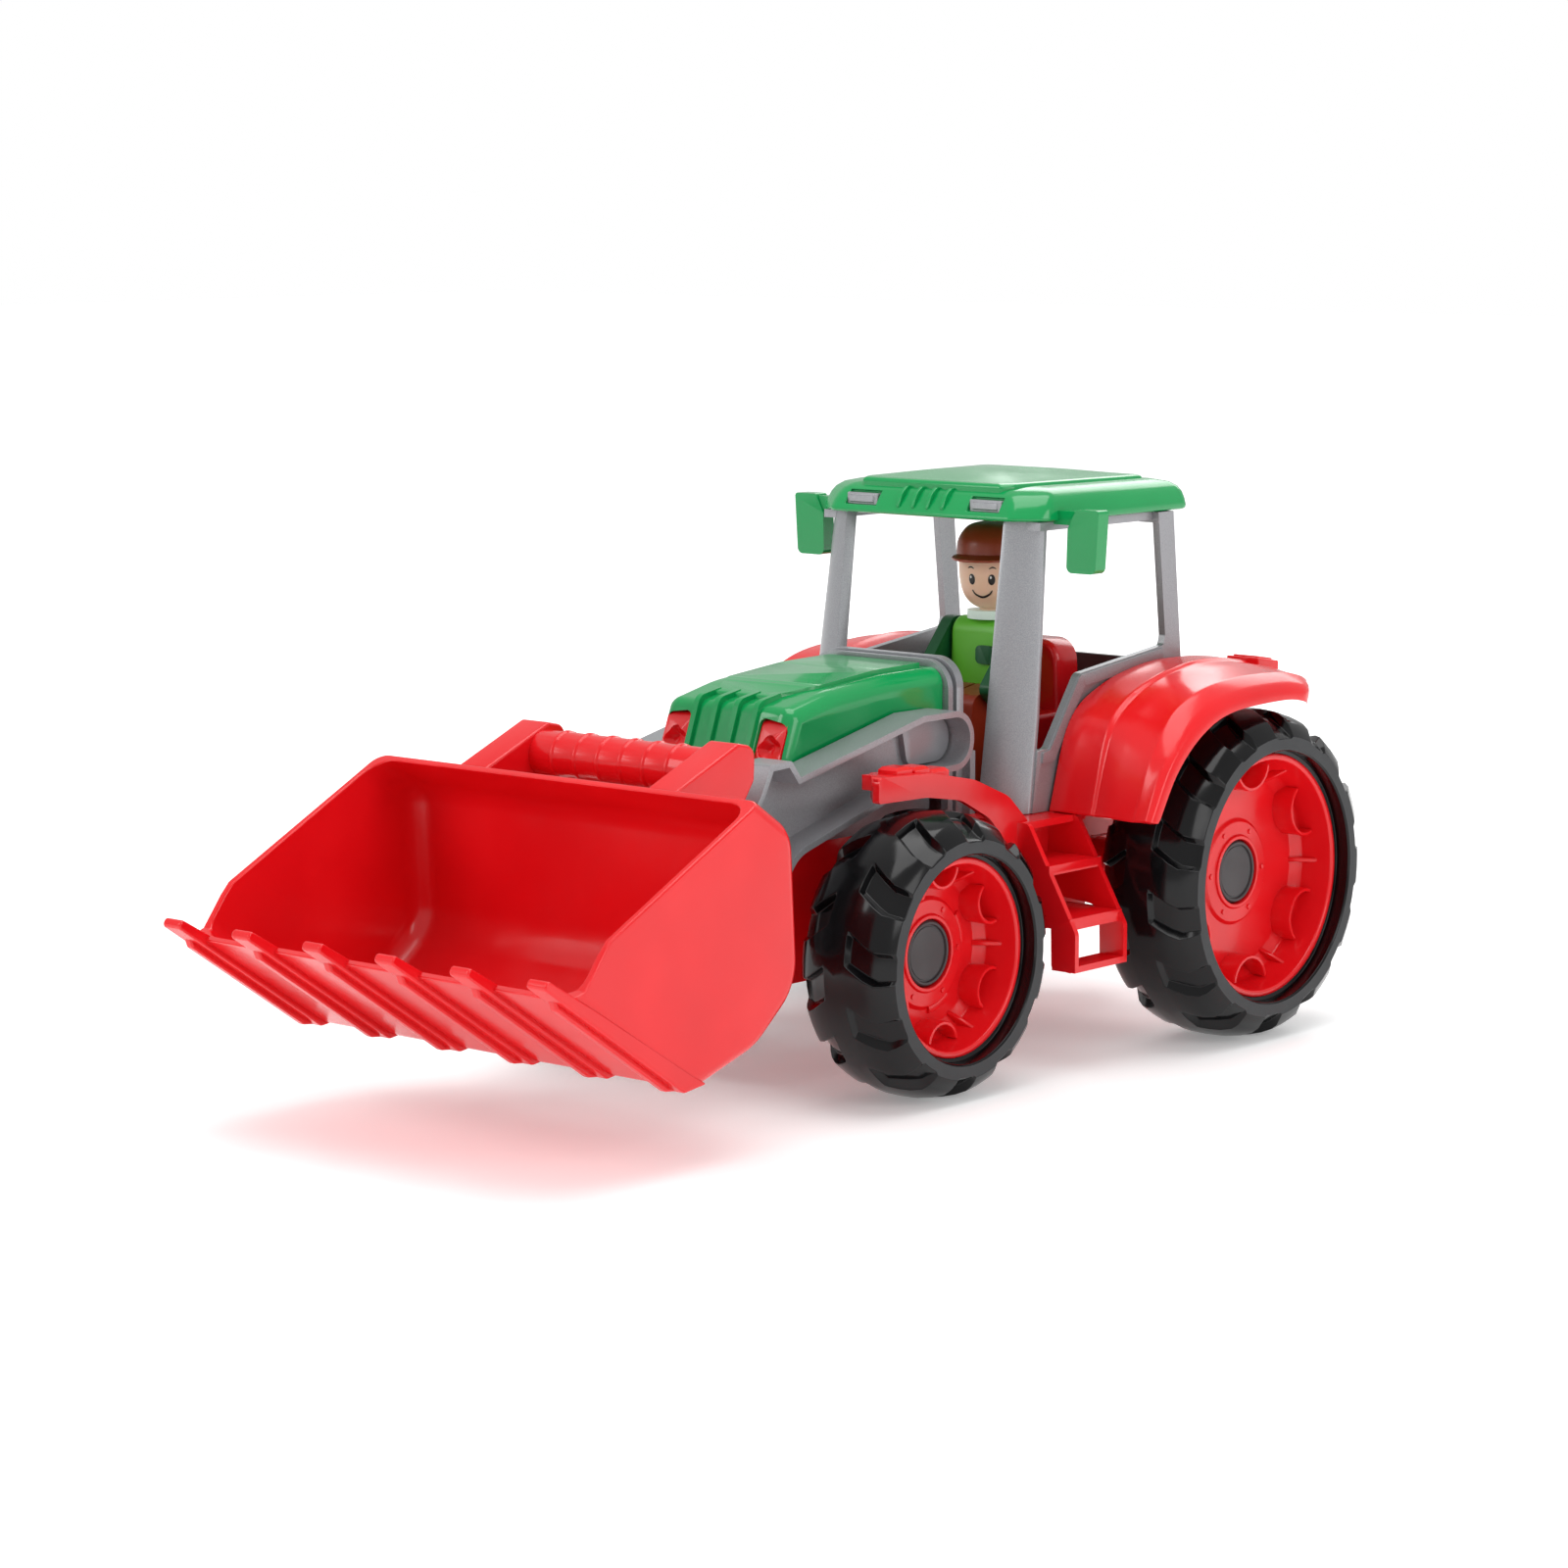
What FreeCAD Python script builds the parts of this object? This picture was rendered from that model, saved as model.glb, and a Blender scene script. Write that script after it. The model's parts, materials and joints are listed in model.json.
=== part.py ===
"""Toy front loader: a farm tractor for the sandpit, with a loader frame, a tilting bucket and a driver.

Millimetres. The origin is on the ground under the middle of the toy. +Z is up, -Y is forward (the
bucket's end) and +X is the driver's left. Everything that has a left and a right is drawn on the
left, at +X, and mirrored in the plane X = 0.
"""
import FreeCAD, Part
import math
import os
from FreeCAD import Vector

# ---- running gear
FRONT_AXLE_Y, FRONT_TYRE_R = -5.0, 41.0
REAR_AXLE_Y, REAR_TYRE_R = 125.0, 50.0
FRONT_TYRE_X = (39.5, 72.5)            # inner and outer face of the left tyre
REAR_TYRE_X = (53.5, 88.0)
FRONT_RIM_R, REAR_RIM_R = 28.6, 37.0   # rim's outer radius, where the tyre sits
FRONT_DISC_X, REAR_DISC_X = 55.6, 71.2  # outer face of the wheel disc
LUG_COUNT_FRONT, LUG_COUNT_REAR = 12, 14
LUG_HEIGHT = 3.2
AXLES = [(FRONT_AXLE_Y, FRONT_TYRE_R), (REAR_AXLE_Y, REAR_TYRE_R)]   # (y, z) of both axles
AXLE_R = 2.0
RUNNING_GAP = 0.05                     # radial gap of a turning fit
CAP_R, CAP_THICK = 9.5, 1.5
HUB_RING_R = 15.3

# ---- loader
LIFT_PIVOT = (31.0, 96.2)              # (y, z) of the arm's pivot on the engine frame
TILT_PIVOT = (-68.0, 53.0)             # (y, z) of the bucket's pivot on the arm
ARM_X = (25.6, 37.0)                   # web's inner face and flange's outer edge
WEB, FLANGE = 2.0, 1.8
LIFT_PIN_R, TILT_PIN_R = 3.0, 2.5

# ---- bucket
BUCKET_HALF = 72.0
SHEET = 2.2                            # moulded wall of the bucket
TEETH, TOOTH_HALF = 6, 3.5
TOOTH_TIP = (-176.5, 58.6)
HANDLE_X = (30.2, 41.2)
GRIP_R, GRIP_CENTRE = 6.8, (-70.0, 97.2)
# Outside of the scoop as (y, z, corner radius): back and floor, then the free edges.
BACK = [(-80.2, 86.5, 11), (-77.6, 44, 17), (-95, 29.6, 22), (-121, 21.6, 3)]
TOP_BACK = (-94.5, 96.0)
LIP = (-168.0, 52.8)
SIDE_EDGE = [(-162.5, 54.8), (-154.0, 66.0, 2)]

# ---- body
HOOD_HALF, HOOD_WALL = 24.5, 1.8
CAB_HALF, CAB_WALL = 44.0, 2.4
PILLAR_CROWN = 1.4                     # bulge of a front pillar's face
ROOF_Z = 158.0
WALL = 2.0
TOW_EYE_R, TOW_EYE_Y = 3.0, 158.5
STEP_Y, STEP_X = (44.2, 69.6), (54.4, 72.0)
HOOD_TOP = [(-25.6, 109.6, 4), (-8, 113.4, 60), (18, 115.6, 60), (41.6, 115.9)]   # down the middle
# Crown lines of the left rear fender: x, then (y, z) from the front edge over the wheel to the tail.
FENDER_LINES = [
    (44.4, [(67.0, 72.4), (77.0, 98.6), (93.0, 108.4), (118.0, 113.2), (140.0, 112.4), (157.6, 108.0)]),
    (60.0, [(67.0, 72.4), (76.0, 99.0), (92.7, 108.8), (118.0, 113.6), (140.0, 112.4), (158.6, 107.8)]),
    (78.0, [(64.4, 72.4), (71.8, 89.6), (84.0, 103.4), (104.0, 109.6), (138.0, 110.0), (156.0, 106.0)]),
    (85.0, [(62.8, 73.2), (74.0, 89.6), (88.0, 100.4), (104.0, 105.8), (134.0, 106.6), (148.0, 103.6)]),
]

# ---- driver
DRIVER_Y = 96.0
NECK_Z, HIP_Z = 126.0, 97.2
SHOULDER = (DRIVER_Y, 120.6)           # (y, z) of the arms' swing axis
HEAD_TURN = 20.0                       # degrees the head looks to the left


# ---------------------------------------------------------------- drawing helpers
def at(axis, place, u, v):
    """A 3-D point from two coordinates in the plane across an axis."""
    return {"x": Vector(place, u, v), "y": Vector(u, place, v), "z": Vector(u, v, place)}[axis]


def outline(axis, place, points):
    """A closed wire from (u, v) or (u, v, corner radius) points."""
    edges, ends, n = [], [], len(points)
    for i, p in enumerate(points):
        here, before, after = (Vector(*q[:2], 0) for q in (p, points[i - 1], points[(i + 1) % n]))
        radius = p[2] if len(p) > 2 else 0
        if not radius:
            ends.append((here, None, here))
            continue
        a, b = (before - here).normalize(), (after - here).normalize()
        half = a.getAngle(b) / 2
        reach = radius / math.tan(half)
        middle = here + (a + b).normalize() * (radius / math.sin(half) - radius)
        ends.append((here + a * reach, middle, here + b * reach))
    for i, (start, middle, end) in enumerate(ends):
        if middle is not None:
            edges.append(Part.Arc(*(at(axis, place, q.x, q.y) for q in (start, middle, end))).toShape())
        following = ends[(i + 1) % n][0]
        if end.distanceToPoint(following) > 1e-6:
            edges.append(Part.makeLine(at(axis, place, end.x, end.y),
            at(axis, place, following.x, following.y)))
    return Part.Wire(edges)


def shrunk(points, depth):
    """The same outline with every side moved in by depth and the corner radii kept concentric."""
    n = len(points)
    area = sum(points[i - 1][0] * points[i][1] - points[i][0] * points[i - 1][1] for i in range(n))
    turn = 1 if area > 0 else -1
    lines = []
    for i in range(n):
        (u0, v0), (u1, v1) = points[i][:2], points[(i + 1) % n][:2]
        reach = math.hypot(u1 - u0, v1 - v0)
        du, dv = (u1 - u0) / reach, (v1 - v0) / reach
        lines.append((u0 - turn * dv * depth, v0 + turn * du * depth, du, dv))
    moved = []
    for i in range(n):
        (ua, va, da, ea), (ub, vb, db, eb) = lines[i - 1], lines[i]
        cross = da * eb - ea * db
        t = ((ub - ua) * eb - (vb - va) * db) / cross
        radius = points[i][2] if len(points[i]) > 2 else 0
        convex = cross * turn > 0
        if radius:
            radius = max(radius - depth, 0) if convex else radius + depth
        moved.append((ua + t * da, va + t * ea, radius))
    return moved


def prism(axis, start, stop, points):
    """An outline across an axis, carried from start to stop along it."""
    along = {"x": Vector(1, 0, 0), "y": Vector(0, 1, 0), "z": Vector(0, 0, 1)}[axis]
    return Part.Face(outline(axis, start, points)).extrude(along * (stop - start))


def block(x, y, z):
    """A box from three (low, high) pairs."""
    return Part.makeBox(x[1] - x[0], y[1] - y[0], z[1] - z[0], Vector(x[0], y[0], z[0]))


def drum(x, centre, radius):
    """A cylinder along X between two x values, about a (y, z) centre."""
    return Part.makeCylinder(radius, x[1] - x[0], Vector(x[0], *centre), Vector(1, 0, 0))


def turned(profile, centre):
    """A solid of revolution about an X axis through a (y, z) centre, from (x, radius) points."""
    y, z = centre
    ring = Part.makePolygon([Vector(x, y, z + r) for x, r in profile + profile[:1]])
    return Part.Face(ring).revolve(Vector(0, y, z), Vector(1, 0, 0), 360)


def spin(shape, centre, degrees):
    """A copy turned about an X axis through a (y, z) centre."""
    copy = shape.copy()
    copy.rotate(Vector(0, *centre), Vector(1, 0, 0), degrees)
    return copy


def mirrored(shape):
    return shape.mirror(Vector(0, 0, 0), Vector(1, 0, 0))


def both(shape):
    """A left-hand shape and its right-hand twin."""
    return [shape, mirrored(shape)]


def joined(*shapes):
    whole = shapes[0]
    if len(shapes) > 1:
        whole = shapes[0].fuse(list(shapes[1:]))
    return whole.removeSplitter()


def softened(shape, radius, chosen):
    """The shape with a fillet on each edge that chosen(edge) picks."""
    return shape.makeFillet(radius, [e for e in shape.Edges if chosen(e)])


def straight_along(edge, axis, least=4.0):
    """True for a straight edge parallel to an axis and at least that long."""
    if edge.Length < least or not isinstance(edge.Curve, Part.Line):
        return False
    return abs(abs(getattr(edge.Curve.Direction, axis)) - 1) < 1e-3


# ---------------------------------------------------------------- wheels
def tyre(x, radius, rim_radius, centre, lugs):
    """A hollow plastic tyre with chevron lugs, standing on its lug tops."""
    carcass = radius - LUG_HEIGHT
    inside, outside = x
    hole = rim_radius + 1.2
    body = turned([(inside, hole + 3), (inside, carcass - 3), (inside + 4, carcass),
    (outside - 5, carcass),
                   (outside - 1, carcass - 3.5), (outside, carcass - 4), (outside, hole),
                   (outside - 4, hole),
                   (outside - 4, rim_radius), (inside + 2, rim_radius), (inside + 2, hole + 3)], centre)
    middle = (inside + outside) / 2
    pitch = 2 * math.pi / lugs * carcass
    half = pitch * 0.27
    bars = []
    for side, reach in ((1, outside - 1.2), (-1, inside + 1.2)):
        lean = pitch * 0.30
        start = middle - side * 2.5
        bar = prism("z", centre[1] + carcass - 2.5, centre[1] + radius, [
            (start, centre[0] - half * 0.75 - lean), (reach, centre[0] - half + lean * 0.5),
            (reach, centre[0] + half + lean * 0.5), (start, centre[0] + half * 0.75 - lean)])
        edge = prism("y", centre[0] - pitch, centre[0] + pitch, [
            (start, centre[1] + carcass - 3), (reach, centre[1] + carcass - 3),
            (reach, centre[1] + radius - 3.0), (reach - side * 4, centre[1] + radius),
            (start, centre[1] + radius)])
        bar = bar.common(edge)
        offset = 0.0 if side > 0 else 180.0 / lugs
        bars += [spin(bar, centre, offset + 360.0 * k / lugs) for k in range(lugs)]
    round_off = drum((inside, outside), centre, radius)
    treads = [bar.common(round_off) for bar in bars]
    return body.fuse(treads)


def rim(x, lip_x, disc_x, radius, centre):
    """A deep-dished wheel disc with six pockets and six ribs where the barrel meets the disc."""
    inside = x[0]
    floor = disc_x - 3.6
    back = disc_x - 5.4
    shell = turned([
        (inside + 2, radius), (lip_x, radius), (lip_x, radius - 1.6), (lip_x - 0.8, radius - 2.4),
        (disc_x + 1, radius - 4.2), (disc_x, radius - 5.2), (disc_x, HUB_RING_R),
        (disc_x + 1.1, HUB_RING_R - 0.4),
        (disc_x + 1.1, CAP_R + 1.3), (disc_x + 0.4, CAP_R + 0.1), (floor, CAP_R + 0.1),
        (floor, AXLE_R + RUNNING_GAP), (inside + 0.5, AXLE_R + RUNNING_GAP), (inside + 0.5, 5.0),
        (back, 5.0), (back, HUB_RING_R - 2), (disc_x - 2, HUB_RING_R), (disc_x - 2, radius - 6.6),
        (inside + 2, radius - 2.4)], centre)
    pocket_r = radius * 0.19
    depth = (lip_x - disc_x) * 0.62
    y, z = centre
    barrel = turned([(disc_x - 0.5, 1), (disc_x - 0.5, radius - 4.0), (lip_x - 1, radius - 2.0),
    (lip_x - 1, 1)], centre)
    seat = (y, z + radius - 3.4)
    cup = drum((disc_x - 0.5, disc_x + depth), seat, pocket_r)
    crescent = cup.common(barrel)
    rib = block((disc_x - 0.5, disc_x + depth * 0.62), (y - 0.7, y + 0.7),
    (z + radius - 8.6, z + radius - 2))
    rib = rib.common(barrel)
    extras = []
    for k in range(6):
        extras += [spin(crescent, centre, 60.0 * k), spin(rib, centre, 60.0 * k + 30)]
    return shell.fuse(extras).removeSplitter()


def cap(disc_x, centre):
    """The press-in cover over the end of the axle."""
    top = disc_x + CAP_THICK
    return turned([(disc_x - 2.2, CAP_R), (top - 0.5, CAP_R), (top, CAP_R - 0.5), (top, CAP_R - 1.6),
                   (top - 0.35, CAP_R - 1.9), (top - 0.35, 0), (disc_x - 0.3, 0),
                   (disc_x - 0.3, CAP_R - 1.3),
                   (disc_x - 2.2, CAP_R - 1.3)], centre)


def wheel_set(nodes, name, x, radius, rim_radius, disc_x, centre, lugs):
    """Tyre, rim and cap for the left and right ends of one axle."""
    lip_x = x[1] - 4.3
    pieces = {"tyre": tyre(x, radius, rim_radius, centre, lugs),
    "rim": rim(x, lip_x, disc_x, rim_radius, centre),
              "cap": cap(disc_x, centre)}
    for piece, shape in pieces.items():
        nodes[f"{name}_left_{piece}"], nodes[f"{name}_right_{piece}"] = both(shape)


def axle(disc_x, centre):
    """A plain steel rod that both wheels of a pair turn on."""
    end = disc_x - 1.6
    return drum((-end, end), centre, AXLE_R)


def retainer(disc_x, centre):
    """A press-on washer that keeps a wheel on its axle, behind the cap."""
    floor = disc_x - 3.6
    washer = drum((floor + 0.2, floor + 1.2), centre, 4.2)
    return washer.cut(drum((floor, floor + 2), centre, AXLE_R))


# ---------------------------------------------------------------- loader frame
def arm_outline():
    """The arm's side view as (y, z, corner radius)."""
    y, z = LIFT_PIVOT
    ty, tz = TILT_PIVOT
    end = 8.7
    return [(y + end + 1.2, z + end, end - 0.2), (y + end + 1.2, z - end + 0.2, end - 0.2),
    (21, z - end - 0.4), (-38, 70.5, 12),
            (ty + 9.5, tz - 8.5, 8), (ty - 7.6, tz - 6.0, 6.5), (ty - 6.6, 63), (-54.2, 89.4),
            (-50, 97.6, 1.2),
            (-41.2, 98, 1.2), (-37.2, 93.0), (17.6, z + end)]


def loader_arm():
    """An open channel with its flange turned outwards, bored for both pivot pins."""
    solid = prism("x", *ARM_X, arm_outline())
    hollow = prism("x", ARM_X[0] + WEB, ARM_X[1] + 1, shrunk(arm_outline(), FLANGE))
    channel = solid.cut(hollow)
    face = ARM_X[0] + WEB
    y, z = LIFT_PIVOT
    lift_boss = prism("x", face - 0.5, face + 2.0,
    [(y + 7.2, z + 6.6, 6.5), (y + 7.2, z - 6.6, 6.5), (y - 12, z - 6.6, 3), (y - 15, z + 6.6, 3)])
    tilt_boss = drum((ARM_X[0], face + 1.6), TILT_PIVOT, 5.0)
    channel = channel.fuse([lift_boss, tilt_boss])
    return channel.cut([drum((20, face + 0.8), LIFT_PIVOT, LIFT_PIN_R + RUNNING_GAP),
                        drum((20, face + 0.4), TILT_PIVOT, TILT_PIN_R + RUNNING_GAP)])


def pivot_pin(start, stop, centre, radius):
    """A round pin with a chamfered nose that ends inside the arm's blind boss."""
    return turned([(start, 0), (start, radius), (stop - 0.6, radius), (stop, radius - 0.6), (stop, 0)],
    centre)


# ---------------------------------------------------------------- bucket
def bucket():
    """A thin scoop, open to the front and the top, with six ribbed teeth under its lip."""
    block_out = prism("x", -BUCKET_HALF, BUCKET_HALF, [TOP_BACK] + BACK + [LIP] + SIDE_EDGE)
    far_top = (TOP_BACK[0] - 3 * 14.3, TOP_BACK[1] + 3 * 9.5)
    far_lip = (LIP[0] - 47, LIP[1] + 31.2)
    inside = BUCKET_HALF - SHEET
    cavity = prism("x", -inside, inside, shrunk([far_top] + BACK + [far_lip, (-190, 130)], SHEET))
    scoop = block_out.cut(cavity)
    parts = [scoop]
    pitch = 2 * (BUCKET_HALF - TOOTH_HALF) / (TEETH - 1)
    for k in range(TEETH):
        x = -BUCKET_HALF + TOOTH_HALF + k * pitch
        parts.append(tooth(x))
    for lug in both(bucket_lug()):
        parts.append(lug)
    return joined(*parts)


def tooth(x):
    """A flat finger from in front of the lip back to the heel, with a narrow keel under it."""
    run = (TOOTH_TIP[0] + 121, TOOTH_TIP[1] - 21.6)
    length = math.hypot(*run)
    ny, nz = -run[1] / length, run[0] / length        # points down and forward, out of the floor
    if nz > 0:
        ny, nz = -ny, -nz
    heel = (-121.0, 21.6)
    tip = TOOTH_TIP

    def under(p, d):
        return (p[0] + ny * d, p[1] + nz * d)
    inside_lip = (LIP[0] + 9, LIP[1] - 5.8)
    flat = prism("x", x - TOOTH_HALF, x + TOOTH_HALF, [
        (*under(tip, -1.2), 1.0), (*under(tip, 1.6), 1.2), (*under(heel, 1.6), 1.2),
        (heel[0] + 5, heel[1] + 1.8),
        (inside_lip[0], inside_lip[1] + 1)])
    keel = prism("x", x - 1.5, x + 1.5, [
        under((tip[0] + 6, tip[1] - 3.9), 0), (*under((tip[0] + 10, tip[1] - 6.5), 3.2), 1.2),
        (*under(heel, 3.2), 2),
        (heel[0] + 8, heel[1] + 1.5, 1)])
    return flat.fuse(keel)


def bucket_lug():
    """The ear on the bucket's back that the pivot pin is pressed into."""
    y, z = TILT_PIVOT
    ear = prism("x", ARM_X[0] - 5.8, ARM_X[0] - 0.4, [
        (-79.5, z + 19), (y + 3, z + 7, 6), (y + 7, z - 7, 6.5), (-79.5, z - 8)])
    return ear.cut(drum((0, 40), TILT_PIVOT, TILT_PIN_R))


def handle_bracket():
    """One cheek of the tilting handle, standing on the back of the bucket."""
    cheek = prism("x", HANDLE_X[0], HANDLE_X[1], [
        (-93.2, 95.6), (-68.2, 105.9, 2), (-61.2, 104.5, 4), (-61.6, 95.0, 3), (-79.2, 70.5, 2),
        (-86, 76)])
    scoop = prism("x", -BUCKET_HALF, BUCKET_HALF, [TOP_BACK] + BACK + [LIP] + SIDE_EDGE)
    cheek = cheek.cut(scoop)
    return softened(cheek, 0.9, lambda e: e.CenterOfMass.z > 100 and e.CenterOfMass.y > -92
                    and abs(e.CenterOfMass.x - HANDLE_X[0]) * abs(e.CenterOfMass.x - HANDLE_X[1]) < 0.01)


def grip():
    """The round bar between the cheeks, with six rings for the fingers."""
    end = HANDLE_X[0]
    bar = drum((-end, end), GRIP_CENTRE, GRIP_R)
    pitch = 2 * end / 7
    rings = [turned([(x - 0.9, GRIP_R - 0.5), (x - 0.9, GRIP_R), (x - 0.35, GRIP_R + 0.45),
    (x + 0.35, GRIP_R + 0.45),
                     (x + 0.9, GRIP_R), (x + 0.9, GRIP_R - 0.5)], GRIP_CENTRE)
             for x in (-end + pitch * (k + 1) for k in range(6))]
    return bar.fuse(rings)


# ---------------------------------------------------------------- chassis and engine
def chassis():
    """The red tub between the axle beams, open underneath, with cross walls and a tow eye at the back."""
    tub = softened(block((-20, 20), (-30, 150), (30, 70)), 3, lambda e: straight_along(e, "z"))
    tub = tub.cut(block((-17, 17), (-27, 147), (20, 67)))
    parts = [tub]
    for middle in (30, 72, 98):
        parts.append(block((-18, 18), (middle - 1, middle + 1), (32, 68)))
    parts.append(prism("z", 34, 39, [(-8, 148), (8, 148), (8, 166, 7.9), (-8, 166, 7.9)]))
    parts.append(block((-1.2, 1.2), (149, 154.5), (38, 56)))
    eye = Part.makeCylinder(TOW_EYE_R, 10, Vector(0, TOW_EYE_Y, 32))
    slots = [block((-30, 30), (y - 6.1, y + 6.1), (20, z + 6.1)) for y, z in AXLES]
    return joined(*parts).cut(slots + [eye])


def axle_beam(y, z, reach):
    """The solid bar across the chassis that an axle rod is pressed into."""
    middle = block((-20, 20), (y - 6, y + 6), (z - 7, z + 6))
    arm = drum((-reach, reach), (y, z), 5.5)
    return joined(middle, arm).cut(drum((-90, 90), (y, z), AXLE_R))


def engine_frame():
    """The grey block between chassis and hood, with a stub on each side for the loader's pivot pin."""
    body = prism("y", -20, 40, [(-21, 70), (21, 70), (21, 103, 3), (-21, 103, 3)])
    body = body.cut(prism("y", -17, 38, [(-19, 71.8), (19, 71.8), (19, 101, 2), (-19, 101, 2)]))
    stub = drum((19.5, ARM_X[0] - 0.3), LIFT_PIVOT, 8.0)
    whole = joined(body, *both(stub))
    return whole.cut([drum((-40, 40), LIFT_PIVOT, LIFT_PIN_R)])


def nose():
    """The red front of the engine, with a hollowed headlight at each corner under the hood."""
    body = prism("x", -22, 22, [(-20.2, 70.2), (-28, 70.2, 2), (-29.5, 84, 3), (-23.4, 106.6, 3),
    (-17, 106.6), (-17, 103.2), (-20.2, 103.2)])
    body = softened(body, 3.0, lambda e: abs(abs(e.CenterOfMass.x) - 22) < 0.05
                    and e.CenterOfMass.y < -24)
    cups = [Part.makeSphere(6.2, Vector(s * 17.6, -28.4, 101.2)) for s in (-1, 1)]
    return body.cut(cups)


def hood():
    """A thin green bonnet: sloping top with a raised panel, ribbed nose and two headlight windows."""
    side = [(-30.6, 84), (-30.6, 96, 10)] + HOOD_TOP + [(41.6, 93), (20, 93), (20, 90), (-22, 90),
    (-22, 84)]
    solid = prism("x", -HOOD_HALF, HOOD_HALF, side)
    solid = softened(solid, 5.0, lambda e: abs(abs(e.CenterOfMass.x) - HOOD_HALF) < 0.05
                     and e.CenterOfMass.z > 108 and e.Length > 1)
    inner = [(-28.8, 80), (-28.8, 96, 8), (-24.4, 107.8, 3), (-8, 111.5, 55), (18, 113.7, 55),
    (44, 114), (44, 80)]
    inside = HOOD_HALF - HOOD_WALL
    shell = solid.cut(prism("x", -inside, inside, inner))
    windows = [prism("y", -40, -21.5, [(s * 13.0, 80), (s * 13.0, 107.0, 2), (s * 22.9, 105.6, 3),
    (s * 22.9, 80)]) for s in (-1, 1)]
    shell = shell.cut(windows)
    shell = shell.cut([drum((s * 15, s * 30) if s > 0 else (-30, -15), LIFT_PIVOT, 8.6) for s in (-1,
    1)])
    panel = prism("x", -17.5, 17.5, [
        (-20.5, 109.5), (-19.6, 112.0, 1), (-8, 114.3, 60), (18, 116.7, 60), (39.5, 117.1), (39.5, 113.9)])
    panel = panel.common(prism("z", 100, 125, [
        (-11.9, -30), (11.9, -30), (11.9, -17, 3), (17.5, -6, 3), (17.5, 45), (-17.5, 45), (-17.5, -6, 3),
        (-11.9, -17, 3)]))
    panel = panel.cut(prism("x", -30, 30, inner))
    grooves = [prism("x", x - 0.4, x + 0.4, [(-4, 112.9), (18, 114.9, 60), (39, 115.2), (39, 118), (-4, 118)])
               for x in (-18.8, 18.8)]
    ribs = [prism("x", x - 0.9, x + 0.9, [(-29, 85), (-31.8, 85), (-31.8, 96, 11), (-26.2, 111.2, 4),
    (-17, 112.8), (-17, 110), (-24, 107)])
            .cut(prism("x", -30, 30, inner)) for x in (-11.3, -3.8, 3.8, 11.3)]
    return joined(shell.cut(grooves), panel, *ribs)


def cowl():
    """The grey arch that closes the back of the hood, with a groove round it and the dashboard behind."""
    def arch(y0, y1, half, top, wall):
        outer = prism("y", y0, y1, [(-half, 72.2), (half, 72.2), (half, top, 9), (-half, top, 9)])
        inner = prism("y", y0, y1, [(-half + wall, 60), (half - wall, 60), (half - wall, top - wall, 7),
        (-half + wall, top - wall, 7)])
        return outer.cut(inner)
    rings = [arch(41.8, 44, 26.6, 118.0, 2.6), arch(44, 45.2, 25.4, 116.8, 2.0),
    arch(45.2, 48.4, 27.0, 118.6, 3.4)]
    dash = prism("y", 46, 48, [(-26, 72.2), (26, 72.2), (26, 116, 8), (-26, 116, 8)])
    foot = block((-30, 30), (48, 50.4), (72.2, 91))
    return joined(*rings, dash, foot)


# ---------------------------------------------------------------- mudguards and steps
def mudguard_and_step():
    """The red side moulding: mudguard over the front wheel, wheel-well wall and the two-rung step."""
    upper = [(-19.5, 92.0, 2), (4, 91.0, 30), (24, 87.0, 20), (40, 80.5, 12), (50.0, 71.5, 6),
    (54.0, 40.0)]
    lower = [(49.2, 40.0, 1), (47.6, 52.0, 8), (42.0, 64.0, 10), (31.0, 75.0, 14), (18.0, 81.6, 14),
    (2.0, 84.2, 20), (-19.5, 84.6, 1)]
    solid = prism("x", 39.2, 50.6, upper + lower)
    solid = solid.cut(prism("z", 80, 100, [(30, -30), (52, -30), (52, -19.5), (48, -19.5), (38.5, -9),
    (30, -9)]))
    under = [(-30, 80), (-22, 89.8), (4, 88.8, 30), (23, 85.0, 18), (38.6, 78.9, 10), (47.4, 70.6, 5),
    (49.0, 60), (34, 60)]
    solid = solid.cut(prism("x", 38, 48.6, under))
    bumps = []
    for start, stop, low in ((-16, -7.5, 90.6), (-6, 1.5, 90.0), (3, 12.5, 88.6)):
        bump = block((41.5, 48.8), (start, stop), (low - 3, low + 2.6))
        bumps.append(softened(bump, 1.2, lambda e, top=low + 2.6: abs(e.CenterOfMass.z - top) < 0.05))
    y0, y1 = STEP_Y
    x0, x1 = STEP_X
    plate = [(20.3, 72.2), (x0, 72.2, 2), (x1, 41.5, 3), (x1, 29.6, 2), (x1 - 8.6, 30.6, 1),
    (x1 - 9, 46, 4), (20.3, 50, 2)]
    cheeks = [prism("y", y0, y0 + 1.8, plate), prism("y", y1 - 1.8, y1, plate)]
    rungs = [block((44, 62.4), (y0, y1), (57.6, 60.4)), block((50, 70.0), (y0, y1), (42.2, 45.6)),
    block((x1 - 8.4, x1), (y0, y1), (30.0, 31.9))]
    wall = block((42, 44), (y0, y1), (44, 72.2))
    deck = block((20.3, x0 - 1), (y0, y1 + 4), (70.2, 72.2))
    return joined(solid, *bumps, *cheeks, *rungs, wall, deck)


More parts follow.
